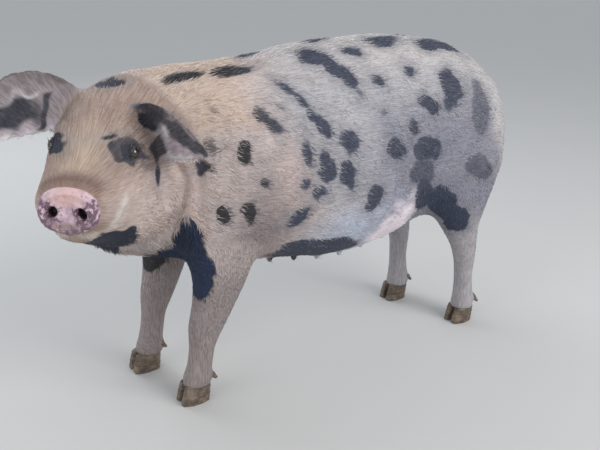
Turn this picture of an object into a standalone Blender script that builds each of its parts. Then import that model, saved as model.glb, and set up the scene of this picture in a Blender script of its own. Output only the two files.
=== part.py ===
"""A spotted farm pig, life size, standing with its head turned to its left.

Metres, +Z up. The pig faces -Y and its left side is +X. While it is being built, the origin is on the
floor midway between the fore feet; at the end the whole pig is moved so that the origin is on the floor
under the middle of its box. The solids reach to the tips of the coat.

The body is modelled whole: lofts for the trunk, head, jaw and limbs are blended into one surface by a
voxel remesh, and thin cuts then part it into head, neck, trunk and legs.
"""

import math

import bmesh
import bpy
import numpy as np
from mathutils import Matrix, Vector
from mathutils.bvhtree import BVHTree

# Driving dimensions
GAP = 0.0003  # between two solids that touch
VOXEL = 0.006  # of the remesh that blends the lofts
HEAD_SHARE, BODY_SHARE = 0.064, 0.021  # of the remeshed triangles, what the head and the rest keep
SMOOTH_STEPS = 34
RING_POINTS, NOSE_POINTS = 40, 26
RINGS_PER_STATION = 5

HEAD_YAW = 50.5  # degrees to the pig's left of the trunk's axis
POLL = Vector((0.013, -0.142, 0.734))  # top of the head between the ears
EYE_RADIUS = 0.0125
EYE_PROUD = 0.0045  # how far the ball stands out of the face
EYE_AHEAD = 0.111  # of the poll
EYE_HEIGHTS = {"left": 0.611, "right": 0.617}  # the head is tipped a little to its left
MUZZLE_END = 0.238  # ahead of the poll
NOSE_DEPTH = 0.017
NOSE_HALF_WIDTH, NOSE_HALF_HEIGHT, NOSE_HEIGHT = 0.055, 0.042, 0.531
NOSTRIL_SIDE, NOSTRIL_WIDTH, NOSTRIL_HEIGHT, NOSTRIL_DEPTH = 0.027, 0.010, 0.012, 0.012

HOOF_HEIGHT = 0.046
CLAW_LENGTH, CLAW_WIDTH, CLEFT = 0.068, 0.031, 0.003
CLAW_LEAN = 0.007  # the toe wall leans forward by this much from the coronet to the sole
CLAW_POINTS = 10
DEWCLAW_LENGTH, DEWCLAW_RADIUS, DEWCLAW_HEIGHT = 0.034, 0.0095, 0.066

EAR_LENGTHS = {"left": 0.184, "right": 0.200}
EAR_HALF_WIDTH, EAR_THICKNESS = 0.068, 0.011
EAR_AHEAD, EAR_SIDE = 0.012, 0.077  # the middle of its root
EAR_STEPS = 9  # points across each face
# Along the ear: distance from the root and half width, as shares of its length and half width.
EAR_OUTLINE = (
    (-0.18, 0.50), (0.00, 0.70), (0.20, 0.93), (0.42, 1.00), (0.64, 0.85), (0.84, 0.50), (1.00, 0.14),
)
# For each ear: height of its root; degrees forward of straight out; how steeply it leaves the head and how
# far it then sinks, as shares of its length; then in degrees how far its hollow side faces down, and how
# far its upper and lower edges roll towards that side.
EAR_POSES = {"left": (0.650, 36, 0.06, 0.26, 16, 54, 15), "right": (0.672, 16, 0.40, 0.84, 2, 28, 18)}

TAIL_ROOT = Vector((0.0, 0.915, 0.612))
TAIL_RADIUS, TAIL_TIP_RADIUS = 0.016, 0.007
TAIL_CURL, TAIL_TURNS, TAIL_DROP, TAIL_REACH = 0.030, 1.15, 0.075, 0.036
TAIL_POINTS = 20

# Where each foot stands, the middle of the sole (x, y), and how far its leg leans to the rear per metre up.
FEET = {
    "fore_left": (0.096, -0.012, 0.00),
    "fore_right": (-0.092, -0.050, 0.09),
    "hind_left": (0.100, 0.811, 0.00),
    "hind_right": (-0.108, 0.746, 0.12),
}

# The trunk and neck from rump to poll. Each row is a section across the spine:
# x, y of its middle, its turn in degrees, height of top and bottom, half width,
# pear (above 0 is wider below), square (1 is an ellipse, below 1 is boxier).
TRUNK = (
    (0.000, 0.936, 0, 0.575, 0.470, 0.050, 0.00, 1.00),
    (0.000, 0.915, 0, 0.640, 0.425, 0.095, 0.00, 0.95),
    (0.000, 0.875, 0, 0.690, 0.385, 0.135, 0.00, 0.90),
    (0.000, 0.810, 0, 0.735, 0.355, 0.163, 0.00, 0.88),
    (0.000, 0.720, 0, 0.770, 0.335, 0.176, 0.02, 0.88),
    (0.000, 0.610, 0, 0.788, 0.300, 0.186, 0.08, 0.90),
    (0.000, 0.480, 0, 0.790, 0.270, 0.202, 0.14, 0.92),
    (0.000, 0.330, 0, 0.780, 0.266, 0.210, 0.14, 0.94),
    (0.000, 0.190, 0, 0.763, 0.284, 0.205, 0.08, 0.92),
    (0.000, 0.080, 0, 0.750, 0.304, 0.190, 0.04, 0.92),
    (0.000, 0.000, 4, 0.744, 0.314, 0.174, 0.05, 0.95),
    (0.004, -0.070, 15, 0.742, 0.324, 0.152, 0.08, 0.97),
    (0.014, -0.125, 30, 0.737, 0.342, 0.140, 0.14, 1.00),
    (0.040, -0.168, 44, 0.710, 0.368, 0.124, 0.20, 1.00),
)

# The head ahead of the poll, in the same terms, but its first number is the distance ahead.
FACE = (
    (-0.030, 0.716, 0.385, 0.122, 0.20, 0.95),
    (0.000, 0.726, 0.385, 0.121, 0.20, 0.86),
    (0.045, 0.708, 0.392, 0.117, 0.17, 0.78),
    (0.085, 0.676, 0.402, 0.108, 0.12, 0.72),
    (0.122, 0.644, 0.426, 0.098, 0.08, 0.72),
    (0.158, 0.616, 0.452, 0.088, 0.05, 0.77),
    (0.195, 0.595, 0.472, 0.079, 0.02, 0.83),
    (0.222, 0.585, 0.484, 0.073, 0.00, 0.88),
    (0.245, 0.578, 0.492, 0.063, 0.00, 0.94),
    (0.275, 0.570, 0.500, 0.046, 0.00, 1.00),
)
# The lower jaw, in the same terms.
JAW = (
    (0.040, 0.520, 0.398, 0.085, 0.00, 1.00),
    (0.100, 0.510, 0.412, 0.070, 0.00, 1.00),
    (0.155, 0.500, 0.436, 0.054, 0.00, 1.00),
    (0.200, 0.492, 0.454, 0.044, 0.00, 1.00),
    (0.228, 0.488, 0.463, 0.033, 0.00, 1.00),
)
# Swellings of the head, on both sides: ahead, side, height, and their half sizes the same ways.
SWELLINGS = (
    (0.092, 0.052, 0.627, 0.046, 0.026, 0.020),  # brow
    (0.072, 0.062, 0.552, 0.066, 0.046, 0.066),  # cheek
    (0.028, 0.074, 0.474, 0.084, 0.054, 0.074),  # jowl
    (0.008, 0.056, 0.664, 0.036, 0.032, 0.032),  # root of the ear
)

# A limb from its root in the trunk down to the hoof. Each row is a level cut: offset from the foot
# away from the pig's middle, and to the rear, height, half width across, half length fore and aft.
FORELIMB = (
    (0.010, 0.060, 0.580, 0.046, 0.090),
    (0.030, 0.058, 0.470, 0.056, 0.104),
    (0.036, 0.060, 0.380, 0.056, 0.094),
    (0.030, 0.056, 0.300, 0.050, 0.072),
    (0.022, 0.044, 0.240, 0.042, 0.055),
    (0.014, 0.029, 0.185, 0.037, 0.045),
    (0.010, 0.020, 0.135, 0.031, 0.033),
    (0.006, 0.016, 0.090, 0.031, 0.033),
    (0.002, 0.010, 0.062, 0.032, 0.034),
    (0.000, 0.008, 0.030, 0.031, 0.031),
)
HINDLIMB = (
    (-0.020, -0.050, 0.650, 0.056, 0.100),
    (0.010, -0.045, 0.540, 0.066, 0.130),
    (0.021, -0.068, 0.450, 0.066, 0.142),
    (0.022, -0.068, 0.370, 0.055, 0.112),
    (0.018, -0.050, 0.300, 0.043, 0.073),
    (0.012, -0.022, 0.240, 0.034, 0.046),
    (0.008, -0.008, 0.190, 0.030, 0.034),
    (0.006, -0.002, 0.135, 0.028, 0.029),
    (0.004, 0.005, 0.090, 0.030, 0.032),
    (0.002, 0.008, 0.062, 0.031, 0.034),
    (0.000, 0.008, 0.030, 0.031, 0.031),
)
# The top of each limb where it parts from the trunk: distance from the pig's middle and height of the
# inner edge, rise of the cut outwards in degrees, and reach fore and aft of the foot.
FORE_CUT = (0.045, 0.285, 42, -0.075, 0.150)
HIND_CUT = (0.045, 0.300, 48, -0.235, 0.300)

# Colour and roughness of each finish.
FINISHES = {
    "hide": ((0.52, 0.40, 0.30), 0.85),
    "ear_hide": ((0.20, 0.17, 0.16), 0.80),
    "nose_skin": ((0.62, 0.36, 0.33), 0.55),
    "hoof_horn": ((0.16, 0.13, 0.10), 0.55),
    "eyeball": ((0.02, 0.012, 0.008), 0.08),
}
# The finish of each piece by the first word of its name. The rest are hide.
KINDS = {
    "ear": "ear_hide",
    "eye": "eyeball",
    "nose": "nose_skin",
    "hoof": "hoof_horn",
    "dewclaw": "hoof_horn",
}


def axes_at(yaw_degrees):
    """(ahead, left) for something turned that far to the pig's left."""
    yaw = math.radians(yaw_degrees)
    return Vector((math.sin(yaw), -math.cos(yaw), 0)), Vector((math.cos(yaw), math.sin(yaw), 0))


HEAD_AHEAD, HEAD_LEFT = axes_at(HEAD_YAW)
UP = Vector((0, 0, 1))
HEAD_TURN = Matrix((HEAD_AHEAD, HEAD_LEFT, UP)).transposed().to_4x4()  # from head axes to the pig's


def on_head(ahead, left, height):
    """A point given by its distance ahead of the poll, left of the face's middle and above the floor."""
    spot = Vector((POLL.x, POLL.y, 0)) + HEAD_AHEAD * ahead + HEAD_LEFT * left
    spot.z = height
    return spot


def smooth_rows(rows, steps):
    """Rows between the stations, on a Catmull-Rom curve through them."""
    rows = np.array(rows, float)
    padded = np.vstack([2 * rows[0] - rows[1], rows, 2 * rows[-1] - rows[-2]])
    made = []
    for a, b, c, d in zip(padded, padded[1:], padded[2:], padded[3:]):
        for t in np.arange(steps) / steps:
            bend = (2 * a - 5 * b + 4 * c - d) * t**2 + (3 * b - a - 3 * c + d) * t**3
            made.append(0.5 * (2 * b + (c - a) * t + bend))
    return np.array(made + [rows[-1]])


def power(value, exponent):
    return math.copysign(abs(value) ** exponent, value)


def section(middle, left, height, half_width, half_height, pear, square, points=RING_POINTS):
    """An upright ring of points round the spine."""
    ring = []
    for k in range(points):
        angle = 2 * math.pi * k / points
        up = power(math.sin(angle), square)
        out = power(math.cos(angle), square) * (1 - pear * up)
        spot = Vector((middle.x, middle.y, height + half_height * up)) + left * (half_width * out)
        ring.append(spot)
    return ring


def collection(name):
    made = bpy.data.collections.new(name)
    bpy.context.scene.collection.children.link(made)
    return made


def new_object(name, mesh, where, helper=False):
    made = bpy.data.objects.new(name, mesh)
    where.objects.link(made)
    if helper:
        made.hide_render = True
        made.display_type = "WIRE"
    return made


def from_bmesh(name, shape, where, helper=False):
    mesh = bpy.data.meshes.new(name)
    shape.to_mesh(mesh)
    shape.free()
    return new_object(name, mesh, where, helper)


def loft(name, rings, where, helper=False):
    """A closed skin through rings of points."""
    shape = bmesh.new()
    loops = [[shape.verts.new(p) for p in ring] for ring in rings]
    for low, high in zip(loops, loops[1:]):
        for k in range(len(low)):
            n = (k + 1) % len(low)
            shape.faces.new((low[k], low[n], high[n], high[k]))
    shape.faces.new(loops[0])
    shape.faces.new(list(reversed(loops[-1])))
    bmesh.ops.recalc_face_normals(shape, faces=shape.faces)
    return from_bmesh(name, shape, where, helper)


def ellipsoid(name, middle, half_sizes, turn, where):
    """A ball stretched along the axes of a turned frame."""
    shape = bmesh.new()
    place = Matrix.Translation(middle) @ turn @ Matrix.Diagonal((*half_sizes, 1))
    bmesh.ops.create_uvsphere(shape, u_segments=14, v_segments=8, radius=1, matrix=place)
    return from_bmesh(name, shape, where, helper=True)


def trunk_loft(where):
    rings = []
    for x, y, yaw, top, bottom, width, pear, square in smooth_rows(TRUNK, RINGS_PER_STATION):
        left = axes_at(yaw)[1]
        middle, half_height = Vector((x, y, 0)), (top - bottom) / 2
        rings.append(section(middle, left, (top + bottom) / 2, width, half_height, pear, square))
    return loft("trunk_loft", rings, where, helper=True)


def head_loft(name, rows, where):
    rings = []
    for ahead, top, bottom, width, pear, square in smooth_rows(rows, RINGS_PER_STATION):
        middle = on_head(ahead, 0, 0)
        rings.append(section(middle, HEAD_LEFT, (top + bottom) / 2, width, (top - bottom) / 2, pear, square))
    return loft(name, rings, where, helper=True)


def limb_loft(name, rows, where):
    foot_x, foot_y, lean = FEET[name]
    side = math.copysign(1, foot_x)
    rings = []
    for out, back, height, half_x, half_y in smooth_rows(rows, RINGS_PER_STATION):
        middle = Vector((foot_x + side * out, foot_y + back + lean * height, height))
        angles = [2 * math.pi * k / RING_POINTS for k in range(RING_POINTS)]
        rings.append([middle + Vector((half_x * math.cos(a), half_y * math.sin(a), 0)) for a in angles])
    return loft(name + "_loft", rings, where, helper=True)


def swellings(where):
    made = []
    for ahead, left, height, *half_sizes in SWELLINGS:
        for side in (1, -1):
            middle = on_head(ahead, side * left, height)
            made.append(ellipsoid("swelling", middle, half_sizes, HEAD_TURN, where))
    return made


def evaluated_mesh(obj, name):
    """The mesh of an object with its modifiers applied."""
    bpy.context.view_layer.update()
    graph = bpy.context.evaluated_depsgraph_get()
    mesh = bpy.data.meshes.new_from_object(obj.evaluated_get(graph))
    mesh.name = name
    return mesh


def apply_modifiers(obj):
    obj.data = evaluated_mesh(obj, obj.data.name)
    obj.modifiers.clear()


def weigh(obj, name, rule):
    """A vertex group whose weights follow a rule of place."""
    group = obj.vertex_groups.new(name=name)
    for vertex in obj.data.vertices:
        group.add([vertex.index], rule(vertex.co), "REPLACE")


def ramp(value, low, high):
    return min(1.0, max(0.0, (value - low) / (high - low)))


def head_share(spot):
    """0 behind the poll, 1 on the face."""
    return ramp((spot - POLL).dot(HEAD_AHEAD), -0.02, 0.06)


def softness(spot):
    """How much a place is smoothed: fully on the trunk, less on the face and the lower legs."""
    return (1 - 0.6 * head_share(spot)) * (0.22 + 0.78 * ramp(spot.z, 0.22, 0.36))


def whole_body(where):
    """Trunk, head and limbs blended into one surface."""
    pieces = [trunk_loft(where), head_loft("face_loft", FACE, where), head_loft("jaw_loft", JAW, where)]
    pieces += swellings(where)
    pieces += [limb_loft(name, FORELIMB if name.startswith("fore") else HINDLIMB, where) for name in FEET]
    shape = bmesh.new()
    for piece in pieces:
        shape.from_mesh(piece.data)
        bpy.data.objects.remove(piece)
    whole = from_bmesh("whole", shape, where, helper=True)
    remesh = whole.modifiers.new("remesh", "REMESH")
    remesh.mode = "VOXEL"
    remesh.voxel_size = VOXEL
    apply_modifiers(whole)
    weigh(whole, "soft", softness)
    smooth = whole.modifiers.new("smooth", "SMOOTH")
    smooth.factor = 0.5
    smooth.iterations = SMOOTH_STEPS
    smooth.vertex_group = "soft"
    apply_modifiers(whole)
    return whole


def thinned(obj, name, share, where):
    """A copy of an object with that share of its triangles."""
    made = new_object(name, obj.data.copy(), where, helper=True)
    thin = made.modifiers.new("thin", "DECIMATE")
    thin.ratio = share
    apply_modifiers(made)
    return made


def region(name, planes, inset, where):
    """A large block cut to what lies on the inner side of each (point, outward normal) plane."""
    shape = bmesh.new()
    bmesh.ops.create_cube(shape, size=4)
    for point, outward in planes:
        flat = outward.normalized()
        geometry = shape.verts[:] + shape.edges[:] + shape.faces[:]
        cut = bmesh.ops.bisect_plane(
            shape, geom=geometry, plane_co=point - flat * inset, plane_no=flat, clear_outer=True
        )
        rim = [item for item in cut["geom_cut"] if isinstance(item, bmesh.types.BMEdge)]
        if rim:
            bmesh.ops.contextual_create(shape, geom=rim)
    bmesh.ops.recalc_face_normals(shape, faces=shape.faces)
    return from_bmesh(name, shape, where, helper=True)


def boolean(obj, cutter, operation):
    step = obj.modifiers.new(operation.lower(), "BOOLEAN")
    step.operation = operation
    step.solver = "EXACT"
    step.object = cutter


def leg_planes(name):
    """The planes that bound a leg: a slanted top, and one on every side that meets the trunk."""
    foot_x, foot_y = FEET[name][:2]
    side = math.copysign(1, foot_x)
    inner, height, rise, front, rear = FORE_CUT if name.startswith("fore") else HIND_CUT
    slope = math.radians(rise)
    return [
        (Vector((side * inner, 0, height)), Vector((-side * math.sin(slope), 0, math.cos(slope)))),
        (Vector((side * inner, 0, height)), Vector((-side, 0, 0))),
        (Vector((0, foot_y + front, height)), Vector((0, -1, -0.15))),
        (Vector((0, foot_y + rear, height)), Vector((0, 1, -0.15))),
    ]


def part_body(fine, coarse, parts, helpers):
    """Head, neck, trunk and legs, each the body within its own region. The head keeps a finer surface."""
    behind_ears = (on_head(-0.028, 0, 0.70), -axes_at(38)[0] - UP * 0.10)
    collar = (Vector((0, 0.005, 0.70)), -axes_at(20)[0] - UP * 0.20)
    muzzle_end = (on_head(MUZZLE_END, 0, 0), HEAD_AHEAD)
    soles = (Vector((0, 0, HOOF_HEIGHT)), -UP)
    leg_regions = [(name, leg_planes(name)) for name in FEET]
    fore_regions, hind_regions = leg_regions[:2], leg_regions[2:]

    def piece(name, planes, without=(), body=coarse):
        made = new_object(name, body.data.copy(), parts)
        boolean(made, region(name + "_region", planes, GAP, helpers), "INTERSECT")
        for other, other_planes in without:
            boolean(made, region(name + "_less_" + other, other_planes, 0, helpers), "DIFFERENCE")
        apply_modifiers(made)
        return made

    piece("head", [behind_ears, collar, muzzle_end], fore_regions, fine)
    piece("neck", [collar], [("head", [behind_ears, collar])] + fore_regions)
    piece("trunk", [soles], [("neck", [collar])] + fore_regions + hind_regions)
    for name, planes in leg_regions:
        piece("leg_" + name, planes + [soles])


def grown(obj, where):
    """A copy of an object, larger all round by the gap."""
    made = new_object(obj.name + "_grown", obj.data.copy(), where, helper=True)
    swell = made.modifiers.new("swell", "DISPLACE")
    swell.strength = GAP
    swell.mid_level = 0
    apply_modifiers(made)
    return made


def ear_section(spot, outwards, facing, half_width, thickness, upper_roll, lower_roll):
    """A ring round the ear: its back from the lower edge to the upper, then its hollow side back."""
    edge_way = facing.cross(outwards).normalized()
    if edge_way.z < 0:
        edge_way.negate()
    across = np.linspace(-1, 1, EAR_STEPS)
    bend = np.radians(np.where(across > 0, upper_roll, -lower_roll)) * np.abs(across) ** 1.4
    step = half_width * (across[1] - across[0])
    middles, normals = [], []
    position = Vector((0, 0, 0))
    for k, angle in enumerate(bend):
        if k:
            turn = (angle + bend[k - 1]) / 2
            position = position + (edge_way * math.cos(turn) + facing * math.sin(turn)) * step
        middles.append(position)
        normals.append(facing * math.cos(angle) - edge_way * math.sin(angle))
    shift = spot - middles[len(middles) // 2]
    halves = [thickness * (0.3 + 0.7 * math.sqrt(1 - a * a)) / 2 for a in across]
    back = [p + shift - n * h for p, n, h in zip(middles, normals, halves)]
    front = [p + shift + n * h for p, n, h in zip(middles, normals, halves)]
    return back + front[::-1]


def ear(name, parts, bodies):
    """A broad ear, held out to the side, rising from its root and sinking to its tip."""
    side = 1 if name == "left" else -1
    root_height, swept, rise, droop, facing_down, upper_roll, lower_roll = EAR_POSES[name]
    length, sweep, down = EAR_LENGTHS[name], math.radians(swept), math.radians(facing_down)
    out = HEAD_LEFT * side * math.cos(sweep) + HEAD_AHEAD * math.sin(sweep)
    forward = HEAD_AHEAD * math.cos(sweep) - HEAD_LEFT * side * math.sin(sweep)
    root = on_head(EAR_AHEAD, side * EAR_SIDE, root_height)
    rings = []
    for along, width in smooth_rows(EAR_OUTLINE, 2):
        height = rise * along - droop * along * abs(along)
        slope = rise - 2 * droop * abs(along)
        outwards = (out + UP * slope).normalized()
        facing = forward * math.cos(down) - UP * math.sin(down)
        facing = (facing - outwards * facing.dot(outwards)).normalized()
        cupping = 1 + 0.5 * max(0.0, 1 - 3 * max(along, 0))
        spot = root + out * length * along + UP * length * height
        thickness = EAR_THICKNESS * (1.25 - 0.65 * along)
        rings.append(
            ear_section(
                spot, outwards, facing, EAR_HALF_WIDTH * width, thickness,
                upper_roll * cupping, lower_roll * cupping,
            )
        )
    made = loft("ear_" + name, rings, parts)
    for body in bodies:
        boolean(made, body, "DIFFERENCE")
    apply_modifiers(made)


def eye(name, parts, helpers, tree):
    """An eyeball sunk in the side of the face, and the socket cut for it."""
    side = 1 if name == "left" else -1
    outside = on_head(EYE_AHEAD, side * 0.3, EYE_HEIGHTS[name])
    hit, normal = tree.ray_cast(outside, -HEAD_LEFT * side)[:2]
    middle = hit - normal * (EYE_RADIUS - EYE_PROUD)
    made = bmesh.new()
    bmesh.ops.create_uvsphere(made, u_segments=12, v_segments=8, radius=EYE_RADIUS)
    ball = from_bmesh("eye_" + name, made, parts)
    ball.data.transform(Matrix.Translation(middle))
    socket = ellipsoid("socket_" + name, middle, [EYE_RADIUS + GAP * 2] * 3, Matrix.Identity(4), helpers)
    head = parts.objects["head"]
    boolean(head, socket, "DIFFERENCE")
    apply_modifiers(head)


def nose(parts, helpers):
    """The disc at the end of the muzzle, with its rounded rim and two nostrils."""
    rim = ((0.0, 0.90), (0.20, 0.975), (0.55, 1.0), (0.85, 0.975), (1.0, 0.91))  # depth and size, as shares
    rings = []
    for depth, size in rim:
        middle = on_head(MUZZLE_END + GAP + depth * NOSE_DEPTH, 0, 0)
        width, height = NOSE_HALF_WIDTH * size, NOSE_HALF_HEIGHT * size
        rings.append(section(middle, HEAD_LEFT, NOSE_HEIGHT, width, height, 0.06, 0.88, NOSE_POINTS))
    disc = loft("nose", rings, parts)
    for side in (1, -1):
        front = on_head(MUZZLE_END + NOSE_DEPTH, side * NOSTRIL_SIDE, NOSE_HEIGHT - 0.002)
        size = (NOSTRIL_DEPTH, NOSTRIL_WIDTH, NOSTRIL_HEIGHT)
        boolean(disc, ellipsoid("nostril", front, size, HEAD_TURN, helpers), "DIFFERENCE")
    apply_modifiers(disc)


def claw(name, foot_x, foot_y, side, parts):
    """One half of a cloven hoof: flat towards the cleft, round in front, on a flat sole."""
    rings = []
    for rise, size in ((0.0, 0.97), (0.10, 1.0), (0.55, 0.97), (1.0, 0.90)):
        ring = []
        for k in range(CLAW_POINTS):
            angle = 2 * math.pi * k / CLAW_POINTS
            out = power(math.cos(angle), 0.7)
            reach = out if out > 0 else 0.72 * out
            x = foot_x + side * (CLEFT / 2 + CLAW_WIDTH / 2 * (0.72 + reach * size))
            y = foot_y + CLAW_LEAN * rise + CLAW_LENGTH / 2 * math.sin(angle) * size
            ring.append(Vector((x, y, (HOOF_HEIGHT - GAP) * rise)))
        rings.append(ring)
    loft(name, rings, parts)


def dewclaw(name, foot_x, foot_y, side, parts, body):
    """A small horn cone behind the leg, pointing down and back."""
    shape = bmesh.new()
    way = Vector((side * 0.25, 0.62, -0.75)).normalized()
    turn = way.to_track_quat("Z", "Y").to_matrix().to_4x4()
    place = Matrix.Translation(Vector((foot_x + side * 0.016, foot_y + 0.040, DEWCLAW_HEIGHT))) @ turn
    bmesh.ops.create_cone(
        shape, cap_ends=True, segments=8, radius1=DEWCLAW_RADIUS, radius2=0.4 * DEWCLAW_RADIUS,
        depth=DEWCLAW_LENGTH, matrix=place,
    )
    made = from_bmesh(name, shape, parts)
    boolean(made, body, "DIFFERENCE")
    apply_modifiers(made)


def feet(parts, body):
    for name, (foot_x, foot_y, _) in FEET.items():
        for claw_name, side in (("outer", math.copysign(1, foot_x)), ("inner", -math.copysign(1, foot_x))):
            claw("hoof_" + name + "_" + claw_name, foot_x, foot_y, side, parts)
            dewclaw("dewclaw_" + name + "_" + claw_name, foot_x, foot_y, side, parts, body)


def tail(parts, body):
    """A tapered tail with one loose curl, hanging close to the rump."""
    curve = bpy.data.curves.new("tail_curve", "CURVE")
    curve.dimensions = "3D"
    curve.bevel_depth = 1.0
    curve.bevel_resolution = 1
    curve.use_fill_caps = True
    line = curve.splines.new("POLY")
    line.points.add(TAIL_POINTS - 1)
    for k, point in enumerate(line.points):
        along = k / (TAIL_POINTS - 1)
        angle = 2 * math.pi * TAIL_TURNS * along**1.15
        x = -TAIL_CURL * math.sin(angle)
        y = 0.040 * (1 - math.exp(-7 * along)) + TAIL_REACH * along
        z = TAIL_CURL * (math.cos(angle) - 1) - TAIL_DROP * along
        point.co = (*(TAIL_ROOT + Vector((x, y, z))), 1)
        point.radius = TAIL_RADIUS + (TAIL_TIP_RADIUS - TAIL_RADIUS) * along
    guide = bpy.data.objects.new("tail_curve", curve)
    parts.objects.link(guide)
    shape = bmesh.new()
    shape.from_mesh(evaluated_mesh(guide, "tail"))
    bpy.data.objects.remove(guide)
    bmesh.ops.remove_doubles(shape, verts=shape.verts, dist=0.0001)
    bmesh.ops.recalc_face_normals(shape, faces=shape.faces)
    made = from_bmesh("tail", shape, parts)
    boolean(made, body, "DIFFERENCE")
    apply_modifiers(made)


def finish(obj):
    """The material that suits a piece, and smooth shading."""
    name = obj.name
    kind = KINDS.get(name.split("_")[0], "hide")
    colour, roughness = FINISHES[kind]
    material = bpy.data.materials.get(kind) or bpy.data.materials.new(kind)
    material.use_nodes = True
    shader = material.node_tree.nodes["Principled BSDF"]
    shader.inputs["Base Color"].default_value = (*colour, 1)
    shader.inputs["Roughness"].default_value = roughness
    shader.inputs["Metallic"].default_value = 0
    obj.data.materials.clear()
    obj.data.materials.append(material)
    obj.data.shade_smooth()
    obj.data.set_sharp_from_angle(angle=math.radians(40))


def settle(parts):
    """Centre the pig's box on the origin and give each piece an origin of its own."""
    corners = np.array([corner for obj in parts.objects for corner in obj.bound_box])
    low, high = corners.min(axis=0), corners.max(axis=0)
    shift = Vector((-(low[0] + high[0]) / 2, -(low[1] + high[1]) / 2, -low[2]))
    for obj in parts.objects:
        box = np.array(obj.bound_box)
        middle = Vector((box.min(axis=0) + box.max(axis=0)) / 2)
        obj.data.transform(Matrix.Translation(-middle))
        obj.location = middle + shift
    return shift


def clear_scene():
    for obj in list(bpy.data.objects):
        bpy.data.objects.remove(obj)


def build():
    clear_scene()
    parts = collection("pig")
    helpers = collection("helpers")
    whole = whole_body(helpers)
    fine = thinned(whole, "fine_body", HEAD_SHARE, helpers)
    coarse = thinned(whole, "coarse_body", BODY_SHARE, helpers)
    part_body(fine, coarse, parts, helpers)
    grown_fine, grown_coarse = grown(fine, helpers), grown(coarse, helpers)
    surface = bmesh.new()
    surface.from_mesh(fine.data)
    tree = BVHTree.FromBMesh(surface)
    surface.free()
    for name in ("left", "right"):
        ear(name, parts, (grown_fine, grown_coarse))
        eye(name, parts, helpers, tree)
    nose(parts, helpers)
    feet(parts, grown_coarse)
    tail(parts, grown_coarse)
    for obj in parts.objects:
        finish(obj)
    return settle(parts)


if __name__ == "__main__":
    build()
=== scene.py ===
"""The looks of a spotted farm pig, life size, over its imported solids.

Metres, in the frame of the solids: the pig faces -Y, its left side is +X and the floor is z = 0. Its head
has a frame of its own, worked out from the eyes: distance ahead of the poll, distance left of the middle of
the face, and height. The body's frame is set by the trunk, and differs from the solids' only by a shift. One skin stands for the solids of flesh. It lies inside them by the depth of the coat,
which is solid tufts that lie along the body.
"""

import math

import bmesh
import bpy
import numpy as np
from mathutils import Matrix, Vector
from mathutils.bvhtree import BVHTree


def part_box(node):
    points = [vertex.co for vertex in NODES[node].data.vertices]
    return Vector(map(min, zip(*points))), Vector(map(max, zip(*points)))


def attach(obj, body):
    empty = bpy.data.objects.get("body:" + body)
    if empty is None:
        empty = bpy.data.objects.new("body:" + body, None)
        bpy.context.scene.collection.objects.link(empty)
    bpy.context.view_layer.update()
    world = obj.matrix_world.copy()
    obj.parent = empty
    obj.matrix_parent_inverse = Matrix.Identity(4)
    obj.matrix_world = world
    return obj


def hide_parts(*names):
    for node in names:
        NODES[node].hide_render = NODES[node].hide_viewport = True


LEGS = ("leg_fore_left", "leg_fore_right", "leg_hind_left", "leg_hind_right")
EARS = ("ear_left", "ear_right")
EYES = ("eye_left", "eye_right")
FLESH = ("head", "neck", "trunk", "nose", "tail", *EARS, *LEGS)

SWELL = 0.0028  # the solids grow by this much before they are blended, so that they overlap
VOXEL = 0.0050
EYES_AHEAD = 0.111  # of the poll, at which the head's own frame starts
TRUNK_MIDDLE = np.array((-0.0264, 0.1157, 0.0))  # of the trunk's box, in the body's own frame
LID = 0.0016  # thickness of an eyelid
EYE_OPENING, UPPER_LID, LOWER_LID = 0.0118, 0.0068, 0.0056  # half length, and how far each lid is up or down
# How deep the coat is over the skin of each part.
COAT_DEPTH = {
    "head": 0.0030,
    "neck": 0.0060,
    "trunk": 0.0050,
    "nose": 0.0003,
    "tail": 0.0025,
    "ear": 0.0012,
    "leg": 0.0025,
}

UP = np.array((0.0, 0.0, 1.0))
BACK = np.array((0.0, 1.0, 0.0))

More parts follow.
